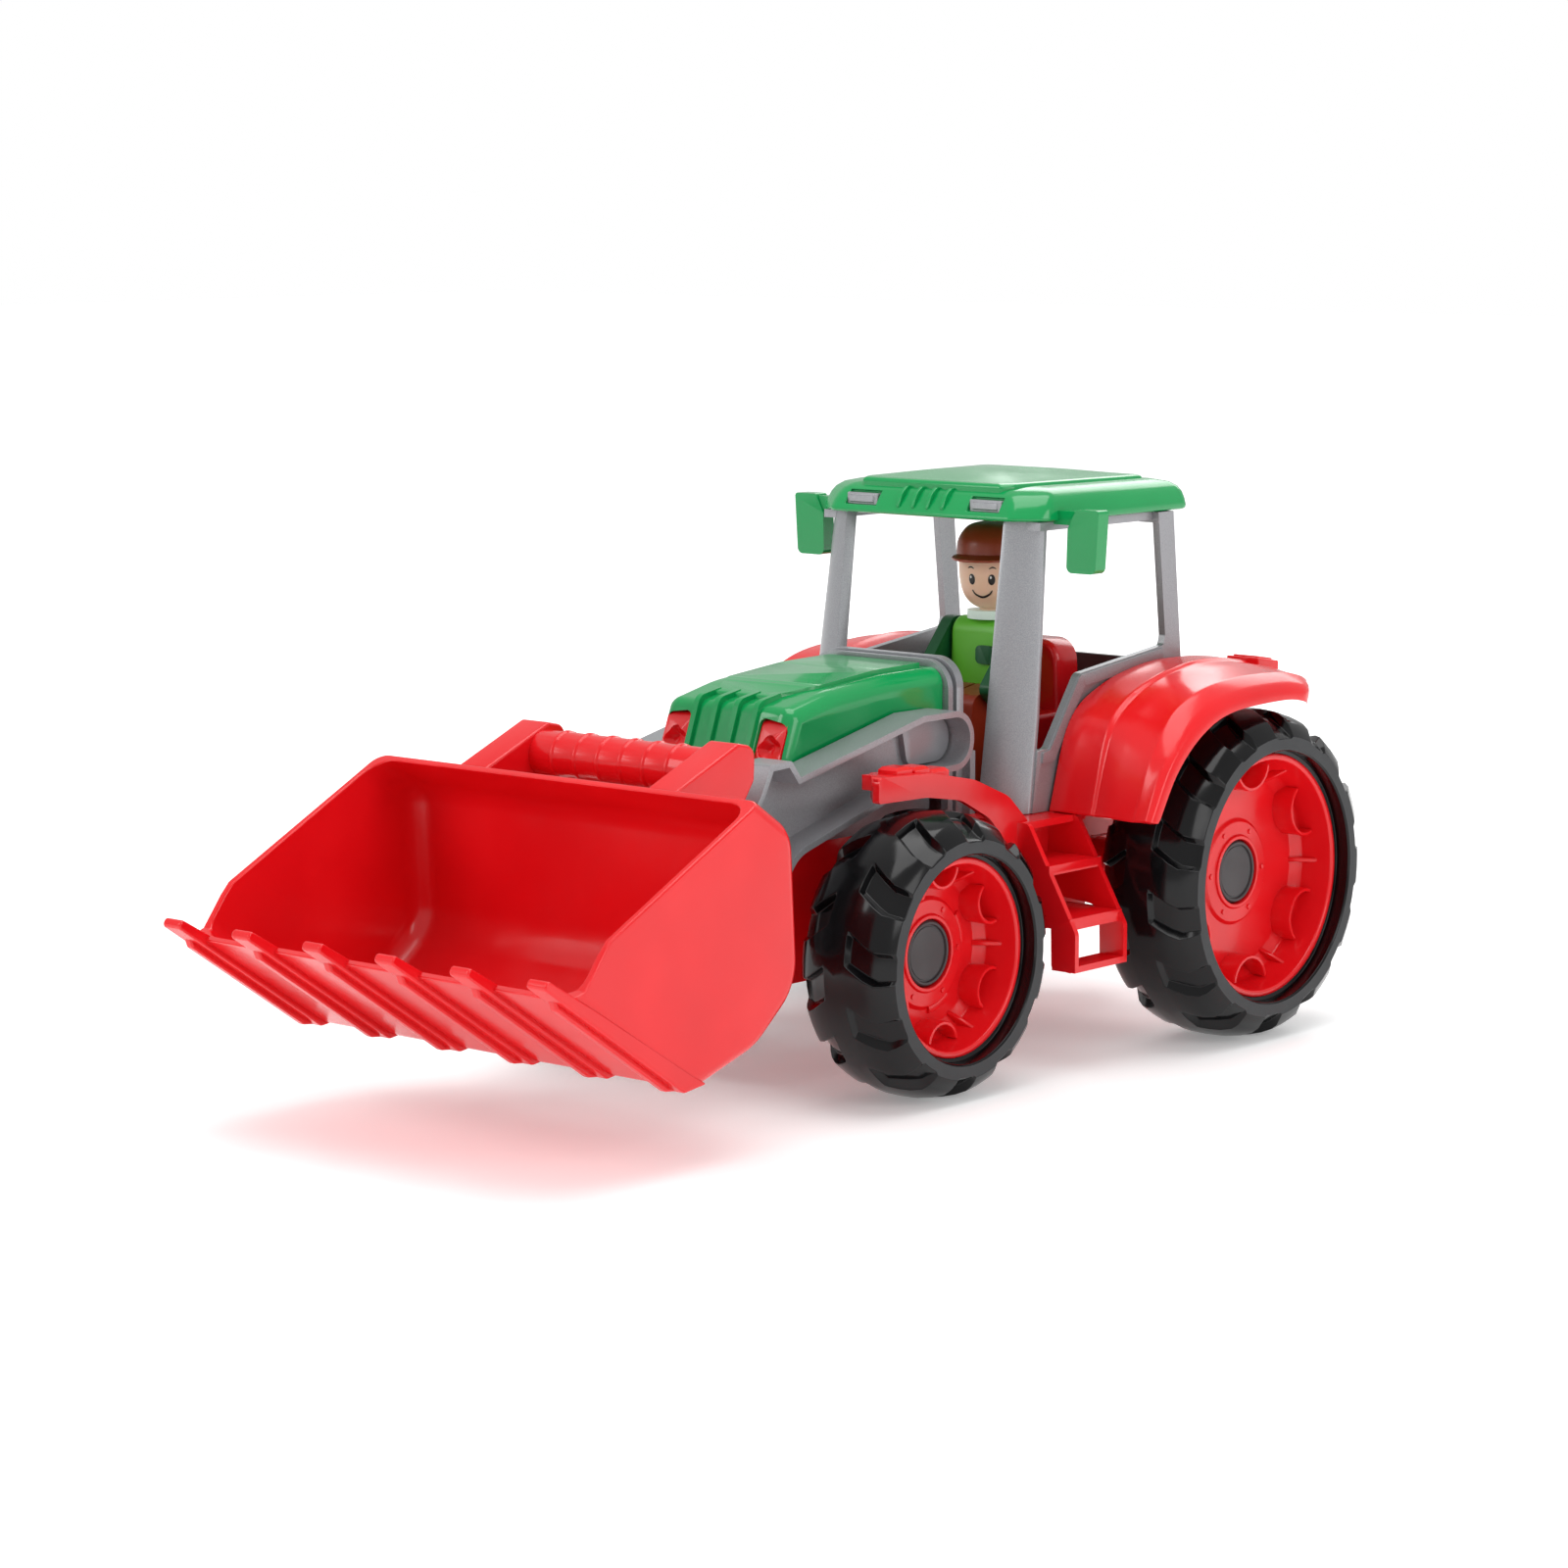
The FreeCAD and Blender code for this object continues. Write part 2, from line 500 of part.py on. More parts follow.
def rear_fender():
    """A creased band over the rear wheel, with a turned-down lip, an inner cheek and a lamp block."""
    y, z = REAR_AXLE_Y, REAR_TYRE_R

    def inward(point, depth):
        reach = math.hypot(point[0] - y, point[1] - z)
        return (point[0] + (y - point[0]) * depth / reach, point[1] + (z - point[1]) * depth / reach)

    sections = [outline("x", x, line + [inward(p, WALL + 0.4) for p in reversed(line)]) for x,
    line in FENDER_LINES]
    band = Part.makeLoft(sections, True, True)
    edge_x, edge = FENDER_LINES[-1]
    lip = prism("x", edge_x - 2.2, edge_x, [inward(p, 0.2) for p in edge] + [inward(p,
    4.6) for p in reversed(edge)])
    inner_line = FENDER_LINES[0][1]
    cheek = prism("x", FENDER_LINES[0][0], FENDER_LINES[0][0] + WALL,
    [inward(p, 0.5) for p in inner_line] + [(153, 96), (146, 72.4)])
    lamp = block((52, 66), (146, 158), (105, 112.6))
    lamp = softened(lamp, 1.2, lambda e: abs(e.CenterOfMass.z - 112.6) < 0.05)
    tyre_room = drum((REAR_TYRE_X[0] - 1.2, 100), (y, z), REAR_TYRE_R + 1.5)
    lamp_room = prism("x", 40, 90, [inward(p, 1.0) for p in inner_line] + [(153, 60), (80, 60)])
    return joined(band, lip, cheek, lamp.cut(lamp_room)).cut(tyre_room)


# ---------------------------------------------------------------- cab
def pillar(levels):
    """A front pillar with a crowned face, lofted through (z, inner x, inner y, outer x, outer y) levels."""
    rings = []
    for z, xi, yi, xo, yo in levels:
        across = Vector(xo - xi, yo - yi, 0).normalize()
        back = Vector(-across.y, across.x, 0)
        inner, outer = Vector(xi, yi, z), Vector(xo, yo, z)
        crown = (inner + outer) * 0.5 - back * PILLAR_CROWN
        rest = Part.makePolygon([outer, outer + back * 3.2, inner + back * 3.2, inner])
        rings.append(Part.Wire([Part.Arc(inner, crown, outer).toShape()] + rest.Edges))
    return Part.makeLoft(rings, True, True)


def cab_side():
    """One side of the cab: front and rear pillars, the panel below the door opening and the top rail."""
    x0, x1 = CAB_HALF - CAB_WALL, CAB_HALF
    panel = prism("x", x0, x1, [
        (60.0, 72.4), (133, 72.4), (134.6, 112, 1), (129.8, 157.8), (122.0, 157.8), (126.2, 120, 1),
        (125.4, 117, 1),
        (82.4, 112.0, 3), (67.4, 91.0, 2), (62.4, 90.6)])
    bead = prism("x", x1, x1 + 0.7, [
        (64.4, 90.2, 0.6), (67.6, 90.6, 1.6), (82.2, 111.6, 2), (125.0, 116.4, 0.6),
        (124.6, 112.6, 0.6), (84.6, 108.2, 2),
        (69.8, 87.2, 2), (64.0, 86.8, 0.6)])
    post = pillar([(72.4, 30.0, 51.6, 44.0, 59.2), (100.0, 29.6, 56.0, 43.2, 63.6),
    (157.8, 30.1, 63.1, 40.6, 70.6)])
    post = softened(post, 1.4, lambda e: e.Length > 20 and e.CenterOfMass.y < 69
                    and e.CenterOfMass.x > 34)
    rail = block((36.5, 41.5), (66.0, 129.5), (155.4, 157.8))
    rear = block((36.5, x1), (122.2, 129.6), (154.6, 157.8))
    return joined(post, panel, bead, rail, rear)


def cab_tub():
    """The dark floor pan of the cab, with its back and side walls."""
    floor = block((-41.2, 41.2), (50.6, 134.0), (72.4, 74.4))
    back = prism("y", 131.4, 133.6, [(-41.2, 74.0), (41.2, 74.0), (41.2, 111.6, 2), (-41.2, 111.6, 2)])
    sides = both(block((39.4, 41.2), (84, 131.6), (74.0, 109.8)))
    return joined(floor, back, *sides)


def seat():
    """The red seat box with a rounded backrest."""
    base = softened(block((-22, 22), (86, 126), (74.5, 97.0)), 2.0, lambda e: e.CenterOfMass.z > 96)
    rest = prism("y", 104.4, 114.5, [(-20, 96), (20, 96), (19, 118.4, 7), (-19, 118.4, 7)])
    rest = softened(rest, 2.0, lambda e: e.CenterOfMass.z > 104 and abs(e.CenterOfMass.y - 104.4) < 0.05)
    return joined(base, rest)


def roof_outline(s):
    """The roof's plan moved in by s: straight sides, cut front corners, rounded rear ones."""
    return [(-36 + s, 60.4 + s, 4), (36 - s, 60.4 + s, 4), (43.2 - s, 68 + s, 5),
    (44.2 - s, 139.6 - s, 4), (-44.2 + s, 139.6 - s, 4), (-43.2 + s, 68 + s, 5)]


def roof():
    """A shallow green cap with a domed raised panel, lamp windows and five flutes in its front."""
    low = outline("z", ROOF_Z, roof_outline(0))
    high = outline("z", ROOF_Z + 8.4, roof_outline(3.4))
    skirt = Part.makeLoft([low, high], True, True)
    low_in = outline("z", ROOF_Z - 0.01, roof_outline(1.8))
    high_in = outline("z", ROOF_Z + 6.6, roof_outline(5.2))
    shell = skirt.cut(Part.makeLoft([low_in, high_in], True, True))
    panel = prism("x", -33.4, 33.4, [(63.5, ROOF_Z + 6.7), (64.5, ROOF_Z + 9.8, 2),
    (98, ROOF_Z + 14.6, 120), (129.6, ROOF_Z + 10.6, 2), (130, ROOF_Z + 6.7)])
    dome = prism("y", 60, 140, [(-33.4, ROOF_Z + 6.7), (-33.4, ROOF_Z + 10.4, 1),
    (0, ROOF_Z + 14.8, 90), (33.4, ROOF_Z + 10.4, 1), (33.4, ROOF_Z + 6.7)])
    panel = panel.common(dome).common(prism("z", 150, 180,
    [(-26, 63), (26, 63), (33.4, 130), (-33.4, 130)]))
    windows = [block((x - 6.0, x + 6.0), (58, 64.2), (ROOF_Z + 2.2, ROOF_Z + 6.0)) for x in (-23.6,
    23.6)]
    flutes = [Part.makeCylinder(1.5, 9, Vector(x, 60.0, ROOF_Z + 1.5),
    Vector(0, 0.35, 1)) for x in (-10, -5, 0, 5, 10)]
    slots = [block((x0, x1), (72.5, 76.5), (ROOF_Z - 1, ROOF_Z + 3.4)) for x0,
    x1 in ((40.5, 50), (-50, -40.5))]
    return joined(shell, panel).cut(windows + flutes + slots)


def roof_lamp(x):
    """A grey work lamp that fills one window in the front of the roof."""
    body = block((x - 5.9, x + 5.9), (62.6, 66.5), (ROOF_Z + 2.3, ROOF_Z + 5.9))
    face = block((x - 4.6, x + 4.6), (62.0, 63.4), (ROOF_Z + 3.1, ROOF_Z + 5.1))
    return body.fuse(face).removeSplitter()


def mirror():
    """A door mirror on a short arm that plugs into the edge of the roof."""
    arm = block((41.0, 57.6), (72.6, 76.4), (ROOF_Z - 0.9, ROOF_Z + 3.2))
    plate = prism("y", 72.0, 77.0, [(46.6, ROOF_Z - 15.0, 2), (57.2, ROOF_Z - 15.0, 2),
    (58.4, ROOF_Z + 3.8, 1), (50, ROOF_Z + 3.8, 1), (47, ROOF_Z - 2, 1)])
    return joined(arm, plate)


# ---------------------------------------------------------------- driver
def driver_torso():
    body = prism("x", -11, 11, [(89, 104.4), (103.6, HIP_Z, 1), (103.6, 124.6, 5), (90, 125.6, 5)])
    return softened(body, 2.0, lambda e: abs(abs(e.CenterOfMass.x) - 11) < 0.05
                    and e.CenterOfMass.z > 106)


def driver_legs():
    """Hips and thighs on the seat, shins down to the floor."""
    leg = prism("x", 0.4, 10.2, [(88.8, 105.2), (103.4, HIP_Z + 0.1), (86.0, HIP_Z + 0.1, 1),
    (82, 74.6, 1), (66, 74.6, 1), (66, 80.5, 2), (72.5, 82, 3), (74.5, 103.0, 4)])
    hips = block((-0.5, 0.5), (80, 98), (HIP_Z + 0.1, 101))
    return joined(*both(leg), hips)


def driver_collar():
    return Part.makeCylinder(7.2, 2.6, Vector(0, DRIVER_Y, NECK_Z - 1.2)).cut(driver_torso())


def driver_head():
    """An egg-shaped head that narrows to the chin."""
    ring = [(0, 128.0), (4.5, 128.0), (7.6, 130.4), (9.6, 137), (9.8, 143.6), (0, 143.6)]
    points = [Vector(r, DRIVER_Y, z) for r, z in ring]
    flank = Part.BSplineCurve()
    flank.interpolate(points[1:5])
    wire = Part.Wire([Part.makeLine(points[0], points[1]), flank.toShape(),
    Part.makeLine(points[4], points[5]), Part.makeLine(points[5], points[0])])
    head = Part.Face(wire).revolve(Vector(0, DRIVER_Y, 0), Vector(0, 0, 1), 360)
    neck = Part.makeCylinder(3.6, 1.4, Vector(0, DRIVER_Y, 127.0))
    return head.fuse(neck).removeSplitter()


def driver_cap():
    """A cap with a short peak, turned with the head."""
    dome = Part.makeSphere(10.6, Vector(0, DRIVER_Y, 143.8)).common(block((-20, 20), (70, 120),
    (143.8, 160)))
    peak = Part.makeCylinder(9.4, 1.2, Vector(0, DRIVER_Y - 6.2, 143.8))
    whole = joined(dome, peak)
    whole.rotate(Vector(0, DRIVER_Y, 0), Vector(0, 0, 1), HEAD_TURN)
    return whole


def driver_arm():
    """A straight arm that swings at the shoulder, reaching for the dashboard."""
    y, z = SHOULDER
    arm = prism("x", 11.3, 15.3, [(y + 4, z + 4.2, 3.9), (y + 4, z - 4, 3.9), (y - 15, z - 21, 2.5),
    (y - 21, z - 15.5, 2.5), (y - 4, z + 4.2, 3.9)])
    return arm


def driver_badge():
    """A plain rounded plate on the chest."""
    plate = prism("y", 88.2, 90.6, [(0.2, 111.4, 1.6), (6.6, 111.4, 1.6), (6.6, 117.0, 1.6),
    (0.2, 117.0, 1.6)])
    return plate.cut(driver_torso())


# ---------------------------------------------------------------- the whole toy
def build():
    nodes = {}
    front, rear = AXLES
    wheel_set(nodes, "front", FRONT_TYRE_X, FRONT_TYRE_R, FRONT_RIM_R, FRONT_DISC_X, front,
    LUG_COUNT_FRONT)
    wheel_set(nodes, "rear", REAR_TYRE_X, REAR_TYRE_R, REAR_RIM_R, REAR_DISC_X, rear, LUG_COUNT_REAR)
    nodes["front_axle"], nodes["rear_axle"] = axle(FRONT_DISC_X, front), axle(REAR_DISC_X, rear)
    nodes["axle_retainers"] = Part.Compound(both(retainer(FRONT_DISC_X,
    front)) + both(retainer(REAR_DISC_X, rear)))

    nodes["chassis"] = chassis()
    nodes["front_axle_beam"] = axle_beam(*front, FRONT_TYRE_X[0] - 0.4)
    nodes["rear_axle_beam"] = axle_beam(*rear, REAR_TYRE_X[0] - 0.4)
    nodes["engine_frame"] = engine_frame()
    nodes["nose"] = nose()
    nodes["hood"] = hood().cut(nodes["engine_frame"]).cut(nodes["nose"])
    nodes["cowl"] = cowl()
    nodes["step_left"], nodes["step_right"] = both(mudguard_and_step())
    side = cab_side().cut(nodes["cowl"])
    nodes["cab_side_left"], nodes["cab_side_right"] = both(side)
    nodes["cab_tub"] = cab_tub().cut([nodes["cab_side_left"], nodes["cab_side_right"], nodes["cowl"]])
    nodes["seat"] = seat()
    fender = rear_fender().cut([nodes["step_left"], side])
    nodes["rear_fender_left"], nodes["rear_fender_right"] = both(fender)
    nodes["roof"] = roof()
    nodes["roof_lamps"] = Part.Compound([roof_lamp(x) for x in (-23.6, 23.6)])
    nodes["roof_lamps"] = nodes["roof_lamps"].cut(nodes["roof"])
    nodes["mirror_left"], nodes["mirror_right"] = both(mirror().cut([nodes["roof"], side]))

    nodes["loader_arm_left"], nodes["loader_arm_right"] = both(loader_arm())
    bar = prism("x", -ARM_X[0], ARM_X[0], [(-52, 77, 2), (-44, 75, 2), (-43, 82, 2), (-51, 84, 2)])
    nodes["loader_crossbar"] = bar
    nodes["lift_pins"] = Part.Compound(both(pivot_pin(19.6, ARM_X[0] + WEB + 0.4, LIFT_PIVOT,
    LIFT_PIN_R)))
    nodes["tilt_pins"] = Part.Compound(both(pivot_pin(ARM_X[0] - 5.6, ARM_X[0] + WEB + 0.1, TILT_PIVOT,
    TILT_PIN_R)))

    nodes["bucket"] = bucket()
    nodes["handle_bracket_left"], nodes["handle_bracket_right"] = both(handle_bracket())
    nodes["handle_grip"] = grip()

    nodes["driver_torso"] = driver_torso()
    nodes["driver_legs"] = driver_legs().cut([nodes["driver_torso"], nodes["seat"]])
    nodes["driver_collar"] = driver_collar()
    nodes["driver_head"] = driver_head().cut(nodes["driver_collar"])
    nodes["driver_cap"] = driver_cap().cut(nodes["driver_head"])
    nodes["driver_arm_left"], nodes["driver_arm_right"] = both(driver_arm())
    nodes["driver_badge"] = driver_badge()
    return nodes


def save(nodes):
    os.makedirs("parts", exist_ok=True)
    whole = None
    for name, shape in nodes.items():
        solids = shape.Solids
        sound = all(s.isValid() for s in solids)
        print(f"{name:24s} solids {len(solids)}  volume {shape.Volume:10.1f}  valid {sound}")
        shape.exportStep(f"parts/{name}.step")
        box = shape.BoundBox
        whole = box if whole is None else whole.united(box)
    print("overall", [round(v, 2) for v in (whole.XMin, whole.XMax, whole.YMin, whole.YMax, whole.ZMin,
    whole.ZMax)])


save(build())
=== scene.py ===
# %% [markdown]
# # A toy farm tractor with a front loader
#
# The tractor is nearly all injection-moulded plastic: hard, glossy, and rounded at every edge, because a
# mould can't make a sharp one. The frame loaded here gives each part's place and its moving body. Each
# piece below is either a rounded copy of a frame part or is modelled again with more shape.
# The frame is in metres. Sizes below are in millimetres, and MM turns them into metres.

# %% Load the frame
import json
import math
import bpy
import bmesh
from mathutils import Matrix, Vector


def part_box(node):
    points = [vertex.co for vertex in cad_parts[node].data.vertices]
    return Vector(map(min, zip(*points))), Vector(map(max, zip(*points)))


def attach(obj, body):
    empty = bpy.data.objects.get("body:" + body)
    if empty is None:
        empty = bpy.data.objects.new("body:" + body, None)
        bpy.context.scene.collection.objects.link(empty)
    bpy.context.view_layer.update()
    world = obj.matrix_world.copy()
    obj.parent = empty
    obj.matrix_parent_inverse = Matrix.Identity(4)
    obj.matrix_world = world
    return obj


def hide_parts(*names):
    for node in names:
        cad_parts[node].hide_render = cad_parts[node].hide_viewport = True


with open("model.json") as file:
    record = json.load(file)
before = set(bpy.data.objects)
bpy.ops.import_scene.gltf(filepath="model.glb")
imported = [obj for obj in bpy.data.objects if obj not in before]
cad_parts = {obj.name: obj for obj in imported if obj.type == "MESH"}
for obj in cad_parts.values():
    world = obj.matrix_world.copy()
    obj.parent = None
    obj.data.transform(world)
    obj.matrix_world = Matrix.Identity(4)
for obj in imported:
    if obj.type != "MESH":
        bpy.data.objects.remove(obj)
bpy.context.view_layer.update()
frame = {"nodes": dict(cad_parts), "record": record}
MM = 0.001

# %% [markdown]
# ## Camera, floor and light
#
# The toy stands on a seamless white floor that shows no horizon. Big soft boxes above, in front, beside and
# behind give long white reflections, which run along the glossy plastic and show its curves. A point lamp
# would leave only small hot spots, so each light is a rectangle. The floor glows a little more the further
# it is from the toy, so that it meets the white world without a line. The world lights the toy less than
# its own white, so the shadows under the wheels stay.

# %% Camera
camera_data = bpy.data.cameras.new("product_camera")
camera_data.lens = 98.2
camera_data.sensor_width = 36.0
camera = bpy.data.objects.new("product_camera", camera_data)
bpy.context.scene.collection.objects.link(camera)
camera.location = (0.8016, -0.9365, 0.2591)
look_at = Vector((-0.0004, -0.0009, 0.0837))
camera.rotation_mode = "QUATERNION"
camera.rotation_quaternion = (look_at - camera.location).to_track_quat("-Z", "Y")
bpy.context.scene.camera = camera
print("camera", [round(v, 3) for v in camera.location])

# %% Floor
floor_half = 6.0
floor_mesh = bpy.data.meshes.new("studio_floor")
floor_corners = [(-floor_half, -floor_half, 0), (floor_half, -floor_half, 0), (floor_half, floor_half, 0),
                 (-floor_half, floor_half, 0)]
floor_mesh.from_pydata(floor_corners, [], [(0, 1, 2, 3)])
studio_floor = bpy.data.objects.new("studio_floor", floor_mesh)
bpy.context.scene.collection.objects.link(studio_floor)
floor_finish = bpy.data.materials.new("pale_floor")
floor_finish.use_nodes = True
floor_tree = floor_finish.node_tree
floor_shader = floor_tree.nodes["Principled BSDF"]
floor_shader.inputs["Base Color"].default_value = (0.93, 0.93, 0.93, 1)
floor_shader.inputs["Roughness"].default_value = 0.55
floor_shader.inputs["Specular IOR Level"].default_value = 0.1
floor_shader.inputs["Emission Color"].default_value = (1, 1, 1, 1)
floor_place = floor_tree.nodes.new("ShaderNodeTexCoord")
distance = floor_tree.nodes.new("ShaderNodeVectorMath")
distance.operation = "LENGTH"
floor_tree.links.new(floor_place.outputs["Object"], distance.inputs[0])
glow = floor_tree.nodes.new("ShaderNodeMapRange")
for socket, value in (("From Min", 0.35), ("From Max", 1.6), ("To Min", 0.24), ("To Max", 0.55)):
    glow.inputs[socket].default_value = value
floor_tree.links.new(distance.outputs["Value"], glow.inputs["Value"])
floor_tree.links.new(glow.outputs["Result"], floor_shader.inputs["Emission Strength"])
floor_mesh.materials.append(floor_finish)
print("floor", 2 * floor_half, "m wide")

# %% World
bpy.context.scene.view_settings.view_transform = "Standard"
world = bpy.data.worlds.new("studio_world")
bpy.context.scene.world = world
world.use_nodes = True
backdrop = world.node_tree.nodes["Background"]
backdrop.inputs["Color"].default_value = (1, 1, 1, 1)
ray = world.node_tree.nodes.new("ShaderNodeLightPath")
level = world.node_tree.nodes.new("ShaderNodeMapRange")
level.inputs["To Min"].default_value = 0.62
level.inputs["To Max"].default_value = 1.0
world.node_tree.links.new(ray.outputs["Is Camera Ray"], level.inputs["Value"])
world.node_tree.links.new(level.outputs["Result"], backdrop.inputs["Strength"])
print("world strength off camera", level.inputs["To Min"].default_value)

# %% Soft boxes


def soft_box(name, place, aim, size, power):
    """A rectangular studio light that faces a point."""
    data = bpy.data.lights.new(name, "AREA")
    data.shape = "RECTANGLE"
    data.size, data.size_y = size
    data.energy = power
    lamp = bpy.data.objects.new(name, data)
    bpy.context.scene.collection.objects.link(lamp)
    lamp.location = place
    lamp.rotation_mode = "QUATERNION"
    lamp.rotation_quaternion = (Vector(aim) - lamp.location).to_track_quat("-Z", "Y")
    return lamp


soft_box("top_box", (0.1, 0.1, 1.5), (0, 0, 0.05), (1.3, 1.0), 12)
soft_box("key_box", (-0.7, -1.3, 0.9), (0, 0, 0.08), (0.7, 0.9), 7.5)
soft_box("side_box", (1.5, -0.1, 0.7), (0, 0, 0.07), (0.8, 0.8), 5.5)
soft_box("rear_box", (-0.5, 1.4, 0.9), (0, 0, 0.1), (1.0, 0.6), 5)
print("four soft boxes")

# %% [markdown]
# ## Finishes
#
# All the plastics share one recipe: a base colour that drifts very slightly, a gloss that varies where the
# melt cooled at different speeds, and a faint orange-peel bump. A flat colour with one roughness would be
# quicker, yet its reflections look too clean. Values that are the same all over are set on the shader.

# %% A recipe for moulded plastic
PEEL_RIPPLES = 2400


def link_noise(tree, scale, detail=2.0, rough=0.5):
    """A noise texture on object coordinates, scale in features per metre."""
    place = tree.nodes.new("ShaderNodeTexCoord")
    noise = tree.nodes.new("ShaderNodeTexNoise")
    noise.inputs["Scale"].default_value = scale
    noise.inputs["Detail"].default_value = detail
    noise.inputs["Roughness"].default_value = rough
    tree.links.new(place.outputs["Object"], noise.inputs["Vector"])
    return noise.outputs["Fac"]


def blend_colours(tree, factor, stops):
    """A colour ramp from (position, rgb) stops."""
    ramp = tree.nodes.new("ShaderNodeValToRGB")
    first, last = ramp.color_ramp.elements
    first.position, first.color = stops[0][0], (*stops[0][1], 1)
    last.position, last.color = stops[-1][0], (*stops[-1][1], 1)
    for position, colour in stops[1:-1]:
        ramp.color_ramp.elements.new(position).color = (*colour, 1)
    tree.links.new(factor, ramp.inputs["Fac"])
    return ramp.outputs["Color"]


def map_range(tree, value, low, high, start=0.3, stop=0.7):
    """A value carried from one range to another."""
    node = tree.nodes.new("ShaderNodeMapRange")
    node.inputs["From Min"].default_value, node.inputs["From Max"].default_value = start, stop
    node.inputs["To Min"].default_value, node.inputs["To Max"].default_value = low, high
    tree.links.new(value, node.inputs["Value"])
    return node.outputs["Result"]


def add_bump(tree, shader, height, strength, distance):
    """A bump from a height value, as deep as the distance in metres."""
    bump = tree.nodes.new("ShaderNodeBump")
    bump.inputs["Strength"].default_value = strength
    bump.inputs["Distance"].default_value = distance
    tree.links.new(height, bump.inputs["Height"])
    tree.links.new(bump.outputs["Normal"], shader.inputs["Normal"])


def moulded_plastic(name, colour, gloss=(0.16, 0.26), drift=0.06, peel=0.06, coat=0.08, light=0.0,
                    shine=0.5):
    """Hard plastic: gloss is the roughness range, drift the change of colour, light the glow-through."""
    material = bpy.data.materials.new(name)
    material.use_nodes = True
    tree = material.node_tree
    shader = tree.nodes["Principled BSDF"]
    slow = link_noise(tree, 28.0)
    darker = [c * (1 - drift) for c in colour]
    paler = [min(1.0, c * (1 + drift) + 0.002) for c in colour]
    base = blend_colours(tree, slow, [(0.3, darker), (0.5, colour), (0.7, paler)])
    tree.links.new(base, shader.inputs["Base Color"])
    cloud = link_noise(tree, 90.0, 4.0, 0.6)
    tree.links.new(map_range(tree, cloud, *gloss), shader.inputs["Roughness"])
    add_bump(tree, shader, link_noise(tree, PEEL_RIPPLES, 1.0), peel, 0.00004)
    shader.inputs["Specular IOR Level"].default_value = shine
    shader.inputs["Coat Weight"].default_value = coat
    shader.inputs["Coat Roughness"].default_value = 0.08
    if light:
        shader.inputs["Subsurface Weight"].default_value = light
        shader.inputs["Subsurface Scale"].default_value = 0.002
        shader.inputs["Subsurface Radius"].default_value = (1.0, 0.35, 0.25)
    return material


# %% The toy's plastics
red_plastic = moulded_plastic("red_plastic", (0.72, 0.006, 0.010), light=0.10, shine=0.42)
green_plastic = moulded_plastic("green_plastic", (0.0015, 0.285, 0.072), gloss=(0.12, 0.22))
black_plastic = moulded_plastic("black_plastic", (0.0025, 0.0025, 0.003), gloss=(0.10, 0.20), drift=0.2,
                                coat=0.0, shine=0.3)
sidewall_black = moulded_plastic("sidewall_black", (0.030, 0.031, 0.033), gloss=(0.40, 0.5), drift=0.08,
                                 peel=0.2, coat=0.0, shine=0.3)
dark_plastic = moulded_plastic("dark_plastic", (0.040, 0.038, 0.040), gloss=(0.34, 0.48), peel=0.3, coat=0.0)
skin_plastic = moulded_plastic("skin_plastic", (0.86, 0.56, 0.39), gloss=(0.34, 0.44), light=0.25, coat=0.0)
cap_plastic = moulded_plastic("cap_plastic", (0.27, 0.035, 0.008), gloss=(0.30, 0.42), coat=0.0)
clothes_gloss = (0.3, 0.42)
trouser_plastic = moulded_plastic("trouser_plastic", (0.33, 0.030, 0.008), gloss=clothes_gloss, coat=0.0)
shirt_plastic = moulded_plastic("shirt_plastic", (0.13, 0.50, 0.03), gloss=clothes_gloss, coat=0.0, light=0.1)
sleeve_plastic = moulded_plastic("sleeve_plastic", (0.006, 0.10, 0.03), gloss=clothes_gloss, coat=0.0)
collar_plastic = moulded_plastic("collar_plastic", (0.72, 0.86, 0.76), gloss=clothes_gloss, drift=0.02,
                                 coat=0.0)
print(len(bpy.data.materials), "finishes so far")

# %% [markdown]
# ## Silver and steel
#
# The loader arms, cowl and cab sides are silver plastic: grey with fine mica flakes. Full metal would look
# like a casting, so the shader is only half metallic. A very fine noise is the flakes, in both colour and
# tilt, and a slow one is the way the melt flowed. The axle rods are plain drawn steel.

# %% Silver plastic with mica flake
silver_plastic = bpy.data.materials.new("silver_plastic")
silver_plastic.use_nodes = True
silver_tree = silver_plastic.node_tree
silver_shader = silver_tree.nodes["Principled BSDF"]
flakes = link_noise(silver_tree, 4800.0, 1.0, 0.5)
flow = link_noise(silver_tree, 22.0, 3.0, 0.55)
mix_flakes = silver_tree.nodes.new("ShaderNodeMix")
mix_flakes.data_type = "RGBA"
mix_flakes.inputs["Factor"].default_value = 0.3
flake_colours = blend_colours(silver_tree, flakes, [(0.35, (0.25, 0.255, 0.27)), (0.65, (0.38, 0.39, 0.41))])
flow_colours = blend_colours(silver_tree, flow, [(0.3, (0.29, 0.295, 0.31)), (0.7, (0.33, 0.335, 0.35))])
silver_tree.links.new(flake_colours, mix_flakes.inputs["A"])
silver_tree.links.new(flow_colours, mix_flakes.inputs["B"])
silver_tree.links.new(mix_flakes.outputs["Result"], silver_shader.inputs["Base Color"])
silver_tree.links.new(map_range(silver_tree, flow, 0.34, 0.42), silver_shader.inputs["Roughness"])
add_bump(silver_tree, silver_shader, flakes, 0.06, 0.00003)
silver_shader.inputs["Metallic"].default_value = 0.5
silver_shader.inputs["Coat Weight"].default_value = 0.1
silver_shader.inputs["Coat Roughness"].default_value = 0.15
print("silver is", silver_shader.inputs["Metallic"].default_value, "metallic")

